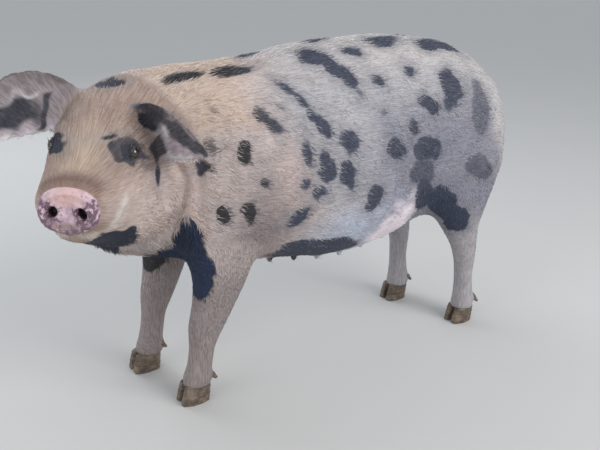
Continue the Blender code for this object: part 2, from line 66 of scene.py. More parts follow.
# Dark spots of the body: place on it (it is snapped to the skin), half length, half width, degrees that the
# long way turns down from straight back, and strength.
BODY_SPOTS = (
    (0.030, -0.300, 0.735, 0.040, 0.018, 0, 0.9),
    (0.040, -0.200, 0.742, 0.052, 0.016, 0, 0.9),
    (0.050, 0.000, 0.762, 0.040, 0.026, 35, 1.0),
    (0.088, 0.038, 0.733, 0.042, 0.022, 52, 1.0),
    (0.112, 0.060, 0.706, 0.030, 0.020, 55, 1.0),
    (0.128, 0.080, 0.685, 0.016, 0.008, 60, 0.6),
    (0.020, 0.205, 0.785, 0.048, 0.026, 0, 0.9),
    (0.030, 0.385, 0.775, 0.078, 0.030, 4, 0.9),
    (0.050, 0.098, 0.764, 0.026, 0.016, 20, 0.9),
    (0.102, 0.236, 0.724, 0.021, 0.016, 40, 0.9),
    (0.115, 0.135, 0.705, 0.020, 0.014, 50, 0.9),
    (0.151, 0.132, 0.639, 0.014, 0.010, 60, 0.5),
    (0.137, 0.070, 0.669, 0.012, 0.009, 50, 0.4),
    (0.108, -0.105, 0.705, 0.026, 0.009, 52, 0.9),
    (0.128, -0.082, 0.680, 0.026, 0.009, 52, 0.9),
    (0.147, -0.062, 0.648, 0.022, 0.011, 55, 0.9),
    (0.160, -0.036, 0.620, 0.028, 0.018, 62, 1.0),
    (0.132, -0.176, 0.664, 0.022, 0.016, 45, 0.75),
    (0.148, -0.155, 0.634, 0.028, 0.015, 62, 0.8),
    (0.128, -0.128, 0.676, 0.020, 0.007, 52, 0.5),
    (0.152, -0.092, 0.630, 0.042, 0.0055, 56, 0.42),
    (0.170, 0.023, 0.587, 0.030, 0.022, 75, 0.9),
    (0.173, -0.088, 0.572, 0.030, 0.009, 84, 0.9),
    (0.180, -0.045, 0.536, 0.036, 0.021, 78, 1.0),
    (0.184, 0.017, 0.522, 0.032, 0.026, 90, 1.0),
    (0.183, -0.057, 0.485, 0.020, 0.013, 10, 0.9),
    (0.180, -0.092, 0.510, 0.015, 0.011, 90, 0.85),
    (0.174, -0.103, 0.438, 0.037, 0.017, -32, 1.0),
    (0.182, 0.090, 0.452, 0.038, 0.024, -62, 0.9),
    (0.172, 0.152, 0.562, 0.031, 0.026, 60, 1.0),
    (0.166, 0.254, 0.544, 0.050, 0.026, 6, 1.0),
    (0.143, 0.275, 0.644, 0.032, 0.022, 0, 1.0),
    (0.128, 0.350, 0.676, 0.050, 0.032, 100, 0.85),
    (0.159, 0.216, 0.603, 0.022, 0.012, 75, 0.8),
    (0.138, 0.447, 0.619, 0.070, 0.037, 82, 0.55),
    (0.159, 0.452, 0.474, 0.060, 0.034, 15, 0.62),
    (0.169, -0.189, 0.522, 0.011, 0.009, 90, 0.8),
    (0.156, -0.226, 0.587, 0.027, 0.016, 82, 1.0),
    (0.160, -0.220, 0.462, 0.031, 0.015, 86, 1.0),
    (0.156, -0.272, 0.465, 0.019, 0.017, 90, 1.15),
    (0.132, -0.315, 0.562, 0.014, 0.012, 90, 0.85),
    (0.140, -0.300, 0.610, 0.022, 0.011, 85, 0.6),
    (0.104, -0.275, 0.676, 0.012, 0.009, 60, 0.45),
    (0.168, 0.245, 0.486, 0.055, 0.034, 20, 0.66),
    # This thin one is painted shade along the fold between the belly and the left thigh.
    (0.160, 0.150, 0.392, 0.042, 0.008, -40, 0.40),
    (0.150, 0.275, 0.425, 0.050, 0.036, 40, 0.9),
    (0.138, 0.350, 0.385, 0.072, 0.040, 42, 1.1),
    (0.126, 0.415, 0.328, 0.046, 0.032, 55, 1.1),
    (-0.030, -0.130, 0.745, 0.034, 0.022, 20, 0.9),
    (-0.050, 0.060, 0.765, 0.050, 0.026, 40, 1.0),
    (-0.105, 0.105, 0.715, 0.030, 0.024, 50, 1.0),
    (-0.045, 0.290, 0.770, 0.036, 0.024, 10, 0.9),
    (-0.120, -0.060, 0.690, 0.034, 0.016, 50, 0.9),
    (-0.150, -0.150, 0.640, 0.028, 0.022, 60, 0.9),
    (-0.130, -0.270, 0.640, 0.022, 0.020, 80, 1.0),
    (-0.155, -0.210, 0.540, 0.030, 0.018, 85, 1.0),
    (-0.160, -0.255, 0.450, 0.020, 0.020, 90, 1.0),
    (-0.175, -0.090, 0.580, 0.036, 0.022, 70, 1.0),
    (-0.185, -0.030, 0.500, 0.030, 0.028, 80, 1.0),
    (-0.180, -0.100, 0.430, 0.034, 0.018, -30, 1.0),
    (-0.185, 0.060, 0.570, 0.040, 0.028, 65, 1.0),
    (-0.180, 0.080, 0.440, 0.032, 0.024, 30, 0.9),
    (-0.160, 0.140, 0.640, 0.030, 0.020, 50, 0.9),
    (-0.175, 0.170, 0.530, 0.036, 0.030, 75, 1.0),
    (-0.130, 0.250, 0.690, 0.028, 0.022, 30, 1.0),
    (-0.165, 0.270, 0.590, 0.040, 0.034, 85, 1.0),
    (-0.170, 0.250, 0.460, 0.050, 0.030, 20, 0.8),
    (-0.130, 0.380, 0.680, 0.044, 0.030, 80, 0.9),
    (-0.150, 0.420, 0.560, 0.034, 0.040, 70, 1.0),
    (-0.145, 0.350, 0.400, 0.070, 0.040, 50, 1.1),
    (-0.150, 0.470, 0.460, 0.034, 0.026, 60, 0.9),
    (-0.060, 0.570, 0.600, 0.030, 0.040, 80, 0.8),
    (0.070, 0.570, 0.520, 0.026, 0.034, 80, 0.8),
    (-0.110, -0.280, 0.330, 0.040, 0.024, 80, 0.9),
)
# The same on the head, but placed by the head's frame.
HEAD_SPOTS = (
    (0.013, -0.001, 0.724, 0.018, 0.028, 0, 1.0),
    (0.121, 0.074, 0.614, 0.032, 0.030, 20, 0.72),
    (0.114, 0.078, 0.611, 0.024, 0.019, 20, 1.1),
    (0.092, 0.095, 0.596, 0.036, 0.030, 20, 0.40),
    (0.136, 0.072, 0.603, 0.012, 0.007, 30, 0.9),
    (0.125, 0.037, 0.641, 0.0135, 0.0058, 61, 1.0),
    (0.056, 0.112, 0.598, 0.024, 0.012, 95, 0.8),
    (0.064, 0.110, 0.577, 0.010, 0.004, 90, 0.8),
    (0.066, 0.112, 0.551, 0.021, 0.0085, 92, 1.0),
    (0.130, -0.066, 0.625, 0.032, 0.024, 30, 1.0),
    # This faint one is painted shade on the right temple, by the root of the right ear.
    (0.055, -0.090, 0.640, 0.045, 0.024, 60, 0.42),
    (0.070, -0.115, 0.500, 0.026, 0.018, 60, 0.9),
)
# Larger dark fields, which aren't snapped: middle, half sizes and strength.
DARK_FIELDS = (
    # The first three are painted shade under the front of the chest, under the brisket on the right and under the
    # belly, partly over dark markings.
    ((0.020, -0.350, 0.315), (0.085, 0.050, 0.055), 1.15),
    ((-0.110, -0.345, 0.285), (0.060, 0.050, 0.036), 1.0),
    ((0.105, -0.028, 0.322), (0.085, 0.122, 0.060), 0.90),
    ((0.083, -0.392, 0.657), (0.023, 0.023, 0.025), 0.80),
    ((0.096, -0.388, 0.607), (0.017, 0.017, 0.030), 0.70),
)
# The dark of the chest on the left: by height, its front edge along the jowl (distance left of the middle of
# the face) and its rear edge (y of the body's frame).
CHEST_HEIGHTS = (0.265, 0.300, 0.345, 0.367, 0.389, 0.426, 0.470)
CHEST_FRONT = (-0.020, -0.010, 0.000, 0.075, 0.111, 0.136, 0.160)
CHEST_REAR = (-0.312, -0.292, -0.296, -0.303, -0.310, -0.322, -0.345)
# The top edge of the dark under the chin, a marking deepened with painted shade, by distance ahead of the poll.
THROAT_AHEAD = (0.085, 0.100, 0.130, 0.190, 0.222)
THROAT_TOP = (0.405, 0.434, 0.464, 0.477, 0.474)


# ---- numbers and places

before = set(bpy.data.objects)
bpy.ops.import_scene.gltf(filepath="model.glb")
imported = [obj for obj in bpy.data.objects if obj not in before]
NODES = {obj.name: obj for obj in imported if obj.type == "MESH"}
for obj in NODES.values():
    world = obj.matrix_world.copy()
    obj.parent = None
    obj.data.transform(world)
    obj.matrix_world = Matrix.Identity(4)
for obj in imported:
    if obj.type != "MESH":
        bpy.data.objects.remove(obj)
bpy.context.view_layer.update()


def ease(value, low, high):
    """0 at low, 1 at high, with a smooth rise between them."""
    t = np.clip((value - low) / (high - low), 0, 1)
    return t * t * (3 - 2 * t)


def bell(value, width):
    return np.exp(-((value / width) ** 2))


def unit(vectors):
    return vectors / np.maximum(np.linalg.norm(vectors, axis=-1, keepdims=True), 1e-9)


def waves(places, length, seed, count=16):
    """A smooth random value, from about -1 to 1, that varies over that length."""
    random = np.random.default_rng(seed)
    ways = unit(random.normal(size=(count, 3))) * (2 * math.pi / (length * random.uniform(0.7, 1.5, (count, 1))))
    return np.sin(places @ ways.T + random.uniform(0, 2 * math.pi, count)).sum(axis=1) * math.sqrt(1 / count)


def node_points(node):
    data = NODES[node].data
    places = np.empty(len(data.vertices) * 3, np.float32)
    data.vertices.foreach_get("co", places)
    return places.reshape(-1, 3).astype(float)


def node_middle(node):
    low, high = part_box(node)
    return np.array((low + high) / 2)


def head_frame():
    """The head's ahead and left ways, and the point on the floor under its poll."""
    left_eye, right_eye = node_middle("eye_left"), node_middle("eye_right")
    left = left_eye - right_eye
    left[2] = 0
    left /= np.linalg.norm(left)
    ahead = np.cross(left, UP)
    start = (left_eye + right_eye) / 2 - ahead * EYES_AHEAD
    start[2] = 0
    return ahead, left, start


AHEAD, LEFT, START = head_frame()


def to_head(places):
    """Places as distance ahead, distance left and height."""
    moved = places - START
    return moved @ AHEAD, moved @ LEFT, places[..., 2]


def from_head(ahead, left, height):
    return START + AHEAD * ahead + LEFT * left + UP * height


def body_start():
    """The point on the floor where the body's frame starts."""
    middle = node_middle("trunk")
    middle[2] = 0
    return middle - TRUNK_MIDDLE


BODY_START = body_start()


# ---- the skin's shape


def welded(node):
    """The surface of a solid, with its split corners joined again."""
    shape = bmesh.new()
    shape.from_mesh(NODES[node].data)
    bmesh.ops.remove_doubles(shape, verts=shape.verts, dist=0.0001)
    bmesh.ops.recalc_face_normals(shape, faces=shape.faces)
    return shape


def blended_flesh():
    """The solids of flesh, with the eyes to fill their sockets, blended into one closed surface."""
    whole = bmesh.new()
    for node in FLESH + EYES:
        shape = welded(node)
        shape.normal_update()
        for vertex in shape.verts:
            vertex.co += vertex.normal * SWELL
        swollen = bpy.data.meshes.new(node + "_swollen")
        shape.to_mesh(swollen)
        shape.free()
        whole.from_mesh(swollen)
    mesh = bpy.data.meshes.new("skin")
    whole.to_mesh(mesh)
    whole.free()
    skin = bpy.data.objects.new("skin", mesh)
    bpy.context.scene.collection.objects.link(skin)
    remesh = skin.modifiers.new("remesh", "REMESH")
    remesh.mode = "VOXEL"
    remesh.voxel_size = VOXEL
    apply_modifiers(skin)
    return skin


def apply_modifiers(obj):
    bpy.context.view_layer.update()
    graph = bpy.context.evaluated_depsgraph_get()
    name = obj.data.name
    obj.data = bpy.data.meshes.new_from_object(obj.evaluated_get(graph))
    obj.data.name = name
    obj.modifiers.clear()


def drop_cavities(shape):
    """Keeps only the island that holds the highest point."""
    top = max(shape.verts, key=lambda vertex: vertex.co.z)
    seen, waiting = {top}, [top]
    while waiting:
        vertex = waiting.pop()
        for edge in vertex.link_edges:
            other = edge.other_vert(vertex)
            if other not in seen:
                seen.add(other)
                waiting.append(other)
    lost = [vertex for vertex in shape.verts if vertex not in seen]
    bmesh.ops.delete(shape, geom=lost, context="VERTS")


def points_of(shape):
    return np.array([vertex.co for vertex in shape.verts])


def refine(shape, wanted):
    """Splits the edges whose ends both lie where the rule says."""
    chosen = wanted(points_of(shape))
    shape.verts.index_update()
    edges = [edge for edge in shape.edges if chosen[edge.verts[0].index] and chosen[edge.verts[1].index]]
    bmesh.ops.subdivide_edges(shape, edges=edges, cuts=1, use_grid_fill=True)


def read_points(mesh):
    places = np.empty(len(mesh.vertices) * 3, np.float32)
    mesh.vertices.foreach_get("co", places)
    return places.reshape(-1, 3).astype(float)


def write_points(mesh, places):
    mesh.vertices.foreach_set("co", places.astype(np.float32).ravel())
    mesh.update()


def read_normals(mesh):
    normals = np.empty(len(mesh.vertices) * 3, np.float32)
    mesh.vertex_normals.foreach_get("vector", normals)
    return normals.reshape(-1, 3).astype(float)


def edges_of(mesh):
    edges = np.empty(len(mesh.edges) * 2, np.int32)
    mesh.edges.foreach_get("vertices", edges)
    return edges.reshape(-1, 2)


def relax(values, edges, steps, share=0.5):
    """Moves each vertex's values towards the mean of its neighbours'."""
    first, second = edges.T
    size = len(values)
    count = np.bincount(edges.ravel(), minlength=size)
    values = values.copy()
    share = np.broadcast_to(share, size)
    for _ in range(steps):
        for k in range(values.shape[1]):
            column = values[:, k]
            total = np.bincount(first, column[second], size) + np.bincount(second, column[first], size)
            values[:, k] = column + share * (total / count - column)
    return values


def near_head(places, rear):
    """Whether places are on the head, from that far ahead of the poll on."""
    ahead, left, height = to_head(places)
    return (ahead > rear) & (np.abs(left) < 0.32) & (height > 0.37)


def near_ears(places):
    inside = np.zeros(len(places), bool)
    for node in EARS:
        low, high = (np.array(corner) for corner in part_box(node))
        inside |= ((places > low - 0.008) & (places < high + 0.008)).all(axis=1)
    return inside


def near_eyes(places, reach):
    distances = [np.linalg.norm(places - node_middle(node), axis=1) for node in EYES]
    return np.min(distances, axis=0) < reach


def teat_spots():
    """Where the teats are, in two rows along the belly, under the trunk's own lowest points."""
    low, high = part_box("trunk")
    rows = np.linspace(low.y + 0.235, high.y - 0.40, 7)
    return [np.array((side * 0.052, y, 0.0)) for y in rows for side in (1, -1)]


def near_teats(places):
    near = np.zeros(len(places), bool)
    for spot in teat_spots():
        near |= (np.hypot(places[:, 0] - spot[0], places[:, 1] - spot[1]) < 0.016) & (places[:, 2] < 0.36)
    return near & (places[:, 2] > 0.24)


def owners(places):
    """For each flesh node, how much of each place belongs to it."""
    surface = bmesh.new()
    face_node = []
    for index, node in enumerate(FLESH):
        surface.from_mesh(NODES[node].data)
        face_node += [index] * (len(surface.faces) - len(face_node))
    tree = BVHTree.FromBMesh(surface)
    surface.free()
    nearest = [face_node[tree.find_nearest(Vector(place))[2]] for place in places]
    shares = np.zeros((len(places), len(FLESH)))
    shares[np.arange(len(places)), nearest] = 1
    return shares


def share_of(shares, *nodes):
    return shares[:, [FLESH.index(node) for node in nodes]].sum(axis=1)


def line_distance(places, corners):
    """Distance from each place to a line through corners, and how far along the line its nearest point is."""
    corners = np.array(corners)
    best = np.full(len(places), np.inf)
    along = np.zeros(len(places))
    for k, (start, end) in enumerate(zip(corners, corners[1:])):
        way = end - start
        t = np.clip((places - start) @ way / (way @ way), 0, 1)
        distance = np.linalg.norm(places - start - t[:, None] * way, axis=1)
        closer = distance < best
        best[closer] = distance[closer]
        along[closer] = ((k + t) / (len(corners) - 1))[closer]
    return best, along


def crease(places, normals, corners, depth, width, swell=0.5):
    """Presses a soft fold along a line, with a low swelling on both sides, fading at its ends."""
    distance, along = line_distance(places, corners)
    fade = ease(along, 0, 0.25) * ease(along, 1, 0.75)
    shape = swell * bell(distance - 2.2 * width, 1.4 * width) - bell(distance, width)
    return places + normals * (depth * shape * fade)[:, None]


def gaze(eye):
    """The way an eye looks, with the ways across its opening and up."""
    side = 1 if eye == "eye_left" else -1
    look = unit(LEFT * side * 0.86 + AHEAD * 0.50 + UP * 0.06)
    across = unit(AHEAD - look * (AHEAD @ look) - UP * 0.30)
    across = unit(across - look * (across @ look))
    upward = np.cross(look, across) * side
    return look, across, upward if upward[2] > 0 else -upward


def eye_radius(eye):
    low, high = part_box(eye)
    return (high.z - low.z) / 2


def lid_gap(places, eye):
    """How far places lie outside the opening of an eye's lids, and their distance over and along it."""
    moved = places - node_middle(eye)
    look, across, upward = gaze(eye)
    u, w, k = moved @ across, moved @ upward, moved @ look
    span = 1 - np.clip(u / EYE_OPENING, -1, 1) ** 2
    gap = np.maximum(np.maximum(w - UPPER_LID * span, -LOWER_LID * span - w), np.abs(u) - EYE_OPENING)
    near = (np.hypot(u, w) < 0.040) & (k > -0.006)
    return gap, u, w, near


def carve_lids(places):
    """Lids that wrap round each eyeball, and the folds round them."""
    for eye in EYES:
        middle, radius = node_middle(eye), eye_radius(eye)
        gap, u, w, near = lid_gap(places, eye)
        gap, u, w, moved = gap[near], u[near], w[near], (places - middle)[near]
        distance = np.linalg.norm(moved, axis=1)
        lid = radius + LID * (1 + 0.25 * bell(gap - 0.0015, 0.0015))
        hug = ease(gap, 0.0105, 0.0040)
        wrapped = np.maximum(distance * (1 - hug) + lid * hug, np.minimum(lid, distance + 0.004))
        new_distance = np.where(gap < 0.0002, radius - 0.0030, wrapped)
        above = w > 0
        folds = 0.0014 * bell(gap - 0.0062, 0.0010) * above + 0.0011 * bell(gap - 0.0105, 0.0014) * above
        folds += 0.0010 * bell(gap - 0.0055, 0.0010) * ~above + 0.0008 * bell(gap - 0.0095, 0.0014) * ~above
        bags = 0.0026 * bell(np.hypot(u, w) - 0.0185, 0.0065)
        new_distance = new_distance - folds + bags * (gap > 0.003)
        places[near] = middle + moved * (new_distance / distance)[:, None]
    return places


def nose_facts():
    """The nose disc's front, middle height and half sizes, in the head's frame."""
    ahead, left, height = to_head(node_points("nose"))
    return ahead.max(), (height.max() + height.min()) / 2, (left.max() - left.min()) / 2, (height.max() - height.min()) / 2


NOSE_FRONT, NOSE_HEIGHT, NOSE_HALF_WIDTH, NOSE_HALF_HEIGHT = nose_facts()
NOSTRIL_SIDE = 0.027


def nostril_reach(left, height):
    """1 at the edge of the nearer nostril, less inside it. Each is a comma that runs out and down."""
    side = np.abs(left) - NOSTRIL_SIDE
    rise = height - NOSE_HEIGHT + 0.001
    turned_x = side * 0.88 + rise * 0.47
    turned_y = rise * 0.88 - side * 0.47
    return np.hypot(turned_x / 0.0088, turned_y / 0.0120)


def carve_nose(places, normals):
    """The disc's rolled rim and dished front, the nostrils, the groove behind it and the wrinkles above."""
    ahead, left, height = to_head(places)
    rise = height - NOSE_HEIGHT
    around = np.hypot(left / NOSE_HALF_WIDTH, rise / NOSE_HALF_HEIGHT)
    front = ease(ahead, NOSE_FRONT - 0.013, NOSE_FRONT - 0.005) * (around < 1.25)
    reach = nostril_reach(left, height)
    push = 0.0022 * bell(around - 0.86, 0.10) - 0.0016 * bell(around, 0.50)
    push += 0.0014 * bell(reach - 1.35, 0.28) - 0.0010 * bell(left, 0.0030) * (rise < 0)
    push += 0.0005 * waves(places, 0.010, 21) * (reach > 1.2)
    pit = 0.0165 * ease(reach, 1.12, 0.55)
    inward = AHEAD * 1.0 - UP * 0.10
    places = places + inward * (front * (push - pit))[:, None]
    spoke = unit(LEFT * left[:, None] + UP * rise[:, None])
    upper = 0.45 + 0.55 * ease(rise, -0.030, 0.000)
    groove = 0.0034 * bell(ahead - (NOSE_FRONT - 0.0205), 0.0042) * upper * (around < 1.5)
    bridge = ease(rise, 0.018, 0.036) * bell(left, 0.044)
    for step, depth in ((0.034, 0.0016), (0.046, 0.0014), (0.060, 0.0011), (0.076, 0.0008)):
        line = ahead - (NOSE_FRONT - step) + 1.6 * left**2 / 0.1
        groove += depth * bell(line, 0.0030) * bridge - 0.4 * depth * bell(line - 0.006, 0.0035) * bridge
    return places - spoke * groove[:, None]


def mouth_line(side):
    corners = (
        (0.246, 0.002, 0.484),
        (0.236, 0.022, 0.476),
        (0.214, 0.044, 0.474),
        (0.190, 0.061, 0.482),
        (0.171, 0.072, 0.496),
        (0.155, 0.080, 0.514),
    )
    return [from_head(ahead, side * left, height) for ahead, left, height in corners]


def lip_streak(side):
    """The swelling of the upper lip at the corner of the mouth, which catches the light."""
    corners = ((0.202, 0.064, 0.492), (0.197, 0.077, 0.515), (0.176, 0.085, 0.536))
    return [from_head(ahead, side * left, height) for ahead, left, height in corners]


def carve_face(places, normals):
    for side in (1, -1):
        distance, along = line_distance(places, mouth_line(side))
        fade = ease(along, 1.0, 0.72)
        above = np.sign(places[:, 2] - np.interp(along, np.linspace(0, 1, 6), [c[2] for c in mouth_line(side)]))
        lips = 0.0022 * bell(distance - 0.0065, 0.0045) * np.where(above > 0, 1.0, 0.8)
        places = places + normals * ((lips - 0.0042 * bell(distance, 0.0022)) * fade)[:, None]
        distance, along = line_distance(places, lip_streak(side))
        places = places + normals * (0.0030 * bell(distance, 0.0085))[:, None]
        corner = from_head(0.146, side * 0.075, 0.520)
        distance = np.linalg.norm(places - corner, axis=1)
        places = places - normals * (0.0025 * bell(distance, 0.010))[:, None]
        for start, end, depth in (
            ((0.150, 0.074, 0.585), (0.205, 0.066, 0.545), 0.0018),
            ((0.100, 0.094, 0.585), (0.145, 0.086, 0.565), 0.0016),
            ((0.075, 0.082, 0.650), (0.120, 0.060, 0.655), 0.0018),
            ((0.128, 0.094, 0.555), (0.160, 0.088, 0.520), 0.0014),
        ):
            ends = [from_head(*(np.array(point) * (1, side, 1))) for point in (start, end)]
            places = crease(places, normals, ends, depth, 0.0045)
    return places


# Soft folds of the body: its line, depth and width.
FOLDS = (
    (((0.090, -0.365, 0.600), (0.116, -0.345, 0.540), (0.116, -0.355, 0.480), (0.104, -0.375, 0.430)), 0.0070, 0.0080),
    (((0.120, -0.285, 0.650), (0.146, -0.275, 0.580), (0.150, -0.285, 0.500), (0.135, -0.310, 0.430)), 0.0030, 0.0110),
    (((0.168, -0.150, 0.330), (0.172, -0.175, 0.390), (0.172, -0.205, 0.450)), 0.0045, 0.0090),
    (((0.160, 0.140, 0.365), (0.170, 0.165, 0.430), (0.175, 0.175, 0.500)), 0.0060, 0.0110),
    (((-0.168, -0.170, 0.340), (-0.172, -0.200, 0.400), (-0.172, -0.235, 0.450)), 0.0045, 0.0090),
    (((-0.165, 0.080, 0.365), (-0.175, 0.105, 0.430), (-0.178, 0.115, 0.500)), 0.0060, 0.0110),
    (((-0.080, -0.420, 0.640), (-0.110, -0.380, 0.570), (-0.115, -0.370, 0.490)), 0.0025, 0.0110),
    (((0.070, 0.600, 0.420), (0.110, 0.560, 0.350), (0.105, 0.520, 0.300)), 0.0025, 0.0100),
    (((-0.070, 0.590, 0.420), (-0.112, 0.540, 0.350), (-0.108, 0.480, 0.300)), 0.0025, 0.0100),
    (((0.0, 0.632, 0.50), (0.0, 0.625, 0.44), (0.0, 0.600, 0.38)), 0.0080, 0.0110),
)


def pad_dewclaws(places, normals):
    """The soft pads that the dewclaws spring from, behind the feet."""
    for node in sorted(NODES):
        if node.startswith("dewclaw"):
            low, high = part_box(node)
            root = np.array(((low.x + high.x) / 2, low.y + 0.002, (low.z + high.z) / 2))
            swelling = 0.0070 * bell(np.linalg.norm(places - root, axis=1), 0.014) * ease(normals[:, 1], 0.0, 0.5)
            places = places + BACK * swelling[:, None]
    return places


def carve_body(places, normals, shares):
    for corners, depth, width in FOLDS:
        places = crease(places, normals, BODY_START + np.array(corners), depth, width)
    soft = share_of(shares, "trunk", "neck")
    heave = 0.0022 * waves(places, 0.24, 5) + 0.0009 * waves(places, 0.07, 6)
    places = places + normals * (heave * soft)[:, None]
    for spot in teat_spots():
        distance = np.hypot(places[:, 0] - spot[0], places[:, 1] - spot[1])
        below = (places[:, 2] < 0.36) & (normals[:, 2] < -0.2)
        drop = (0.0095 * ease(distance, 0.0085, 0.0035) + 0.0025 * bell(distance, 0.014)) * below
        places = places - UP * drop[:, None]
    return places


def coat_depth(places, shares):
    depth = np.zeros(len(places))
    for index, node in enumerate(FLESH):
        depth += shares[:, index] * COAT_DEPTH[node.split("_")[0]]
    ahead, left, height = to_head(places)
    head = share_of(shares, "head")
    depth -= head * 0.0015 * ease(ahead, 0.13, 0.20)
    depth += head * 0.0030 * ease(ahead, 0.09, 0.02)
    depth += share_of(shares, *LEGS) * 0.0030 * ease(height, 0.20, 0.32)
    return depth


def inset(places, normals, shares):
    """Draws the skin in by what it was swollen and by the coat, but keeps it out and down over the hoofs."""
    depth = (coat_depth(places, shares) + SWELL) * ease(places[:, 2], 0.030, 0.085)
    way = normals.copy()
    low = ease(places[:, 2], 0.075, 0.055)
    way[:, 2] *= 1 - low
    moved = places - way * depth[:, None]
    moved[:, 2] = np.where(places[:, 2] < 0.050, np.minimum(moved[:, 2], 0.0435), moved[:, 2])
    return moved


def make_skin():
    skin = blended_flesh()
    mesh = skin.data
    shares = owners(read_points(mesh))
    edges = edges_of(mesh)
    places = read_points(mesh)
    thin = share_of(shares, *EARS) + share_of(shares, "tail", "nose")
    limb = share_of(shares, *LEGS) * ease(places[:, 2], 0.34, 0.22)
    face = share_of(shares, "head")
    stiff = np.column_stack([thin, limb, face])
    stiff = relax(stiff, edges, 6)
    firm = np.clip(1 - stiff[:, 0] * 0.94 - stiff[:, 1] * 0.88 - stiff[:, 2] * 0.80, 0.05, 1)
    places = relax(places, edges, 70, 0.5 * firm)
    write_points(mesh, places)
    shape = bmesh.new()
    shape.from_mesh(mesh)
    drop_cavities(shape)
    refine(shape, lambda places: near_head(places, -0.02) | near_ears(places) | near_teats(places))
    refine(shape, lambda places: near_head(places, 0.212) | near_eyes(places, 0.030))
    shape.to_mesh(mesh)
    shape.free()
    edges = edges_of(mesh)
    places = relax(read_points(mesh), edges, 4)
    write_points(mesh, places)
    shares = relax(owners(places), edges, 30)
    places = inset(places, read_normals(mesh), shares)
    places = relax(places, edges, 3, 0.4)
    write_points(mesh, places)
    places = carve_body(places, read_normals(mesh), shares)
    places = pad_dewclaws(places, read_normals(mesh))
    places = carve_face(places, read_normals(mesh))
    write_points(mesh, places)
    places = carve_nose(places, read_normals(mesh))
    places = carve_lids(places)
    write_points(mesh, places)
    mesh.shade_smooth()
    return skin, shares, edges


# ---- markings


def spot_strength(places, shares, normals):
    """How dark each place is, from 0 to 1, and how near a dark spot it is."""
    warp = 0.0065 * np.column_stack([waves(places, 0.075, seed) for seed in (1, 2, 3)])
    warp += 0.0028 * np.column_stack([waves(places, 0.022, seed) for seed in (4, 5, 6)])
    dark = np.zeros(len(places))
    halo = np.zeros(len(places))
    rows = [(BODY_START + row[:3], BACK, row[3:]) for row in BODY_SPOTS]
    rows += [(from_head(*row[:3]), -AHEAD, row[3:]) for row in HEAD_SPOTS]
    on_ear = share_of(shares, *EARS)
    for place, rearward, (half_length, half_width, turn, strength) in rows:
        nearest = np.argmin(((places - place) ** 2).sum(axis=1) + on_ear)
        middle, normal = places[nearest], normals[nearest]
        along = unit(rearward - normal * (rearward @ normal))
        down = np.cross(normal, along)
        down = -down if down[2] > 0 else down
        angle = math.radians(turn)
        long_way = along * math.cos(angle) + down * math.sin(angle)
        short_way = np.cross(normal, long_way)
        size, least = max(half_length, half_width), min(half_length, half_width)
        moved = places + warp * min(1, least / 0.018) - middle
        reach = np.sqrt(
            (moved @ long_way / half_length) ** 2
            + (moved @ short_way / half_width) ** 2
            + (moved @ normal / (2.2 * size)) ** 2
        )
        inside = (1 - reach) * least
        dark = np.maximum(dark, strength * ease(inside, -0.0050, 0.0055))
        halo = np.maximum(halo, strength * ease(inside, -0.026, 0.002))
    for middle, half_sizes, strength in DARK_FIELDS:
        reach = np.linalg.norm((places + warp - BODY_START - middle) / half_sizes, axis=1)
        dark = np.maximum(dark, strength * ease(reach, 1.15, 0.85))
    on_body = np.clip(1.6 * (1 - on_ear), 0, 1)
    return dark * on_body, halo * on_body


def chest_share(places):
    """The dark of the chest, behind the jowl on the left, down to the root of the fore leg."""
    ahead, left, height = to_head(places)
    wobble = 0.006 * waves(places, 0.035, 34)
    front = np.interp(height, CHEST_HEIGHTS, CHEST_FRONT) + wobble
    rear = np.interp(height, CHEST_HEIGHTS, CHEST_REAR) + wobble
    x, y, _ = (places - BODY_START).T
    field = ease(left, front - 0.006, front + 0.006) * ease(y, rear + 0.006, rear - 0.006)
    field *= ease(height + wobble, 0.474, 0.458) * ease(height + wobble, 0.258, 0.280)
    return field * ease(x, 0.0, 0.03) * ease(ahead, 0.115, 0.095)


def throat_share(places, head):
    """The dark under the chin, a marking deepened with painted shade, with the pale jowl behind it."""
    ahead, left, height = to_head(places)
    wobble = 0.005 * waves(places, 0.030, 35)
    top = np.interp(ahead, THROAT_AHEAD, THROAT_TOP) + wobble
    field = ease(height, top + 0.006, top - 0.008) * ease(ahead, 0.222, 0.204)
    rear = 0.030 + 0.80 * np.clip(left, 0, 0.085) + wobble
    return field * ease(ahead, rear - 0.008, rear + 0.010) * ease(left, -0.060, -0.030) * head


def ear_ends(ear):
    points = node_points(ear)
    out = np.abs((points - START) @ LEFT)
    return points[out < np.quantile(out, 0.10)].mean(axis=0), points[out > np.quantile(out, 0.94)].mean(axis=0)


def ear_places(places, ear):
    """For places on an ear: from root to tip as 0 to 1, and from its upper edge to its lower as 0 to 1."""
    points = node_points(ear)
    root, tip = ear_ends(ear)
    axis = (tip - root) / ((tip - root) @ (tip - root))
    along, own_along = (places - root) @ axis, (points - root) @ axis
    stations = np.linspace(0, 1, 11)
    near = [points[np.abs(own_along - station) < 0.09, 2] for station in stations]
    top = np.interp(along, stations, [heights.max() for heights in near])
    bottom = np.interp(along, stations, [heights.min() for heights in near])
    return along, (top - places[:, 2]) / (top - bottom)


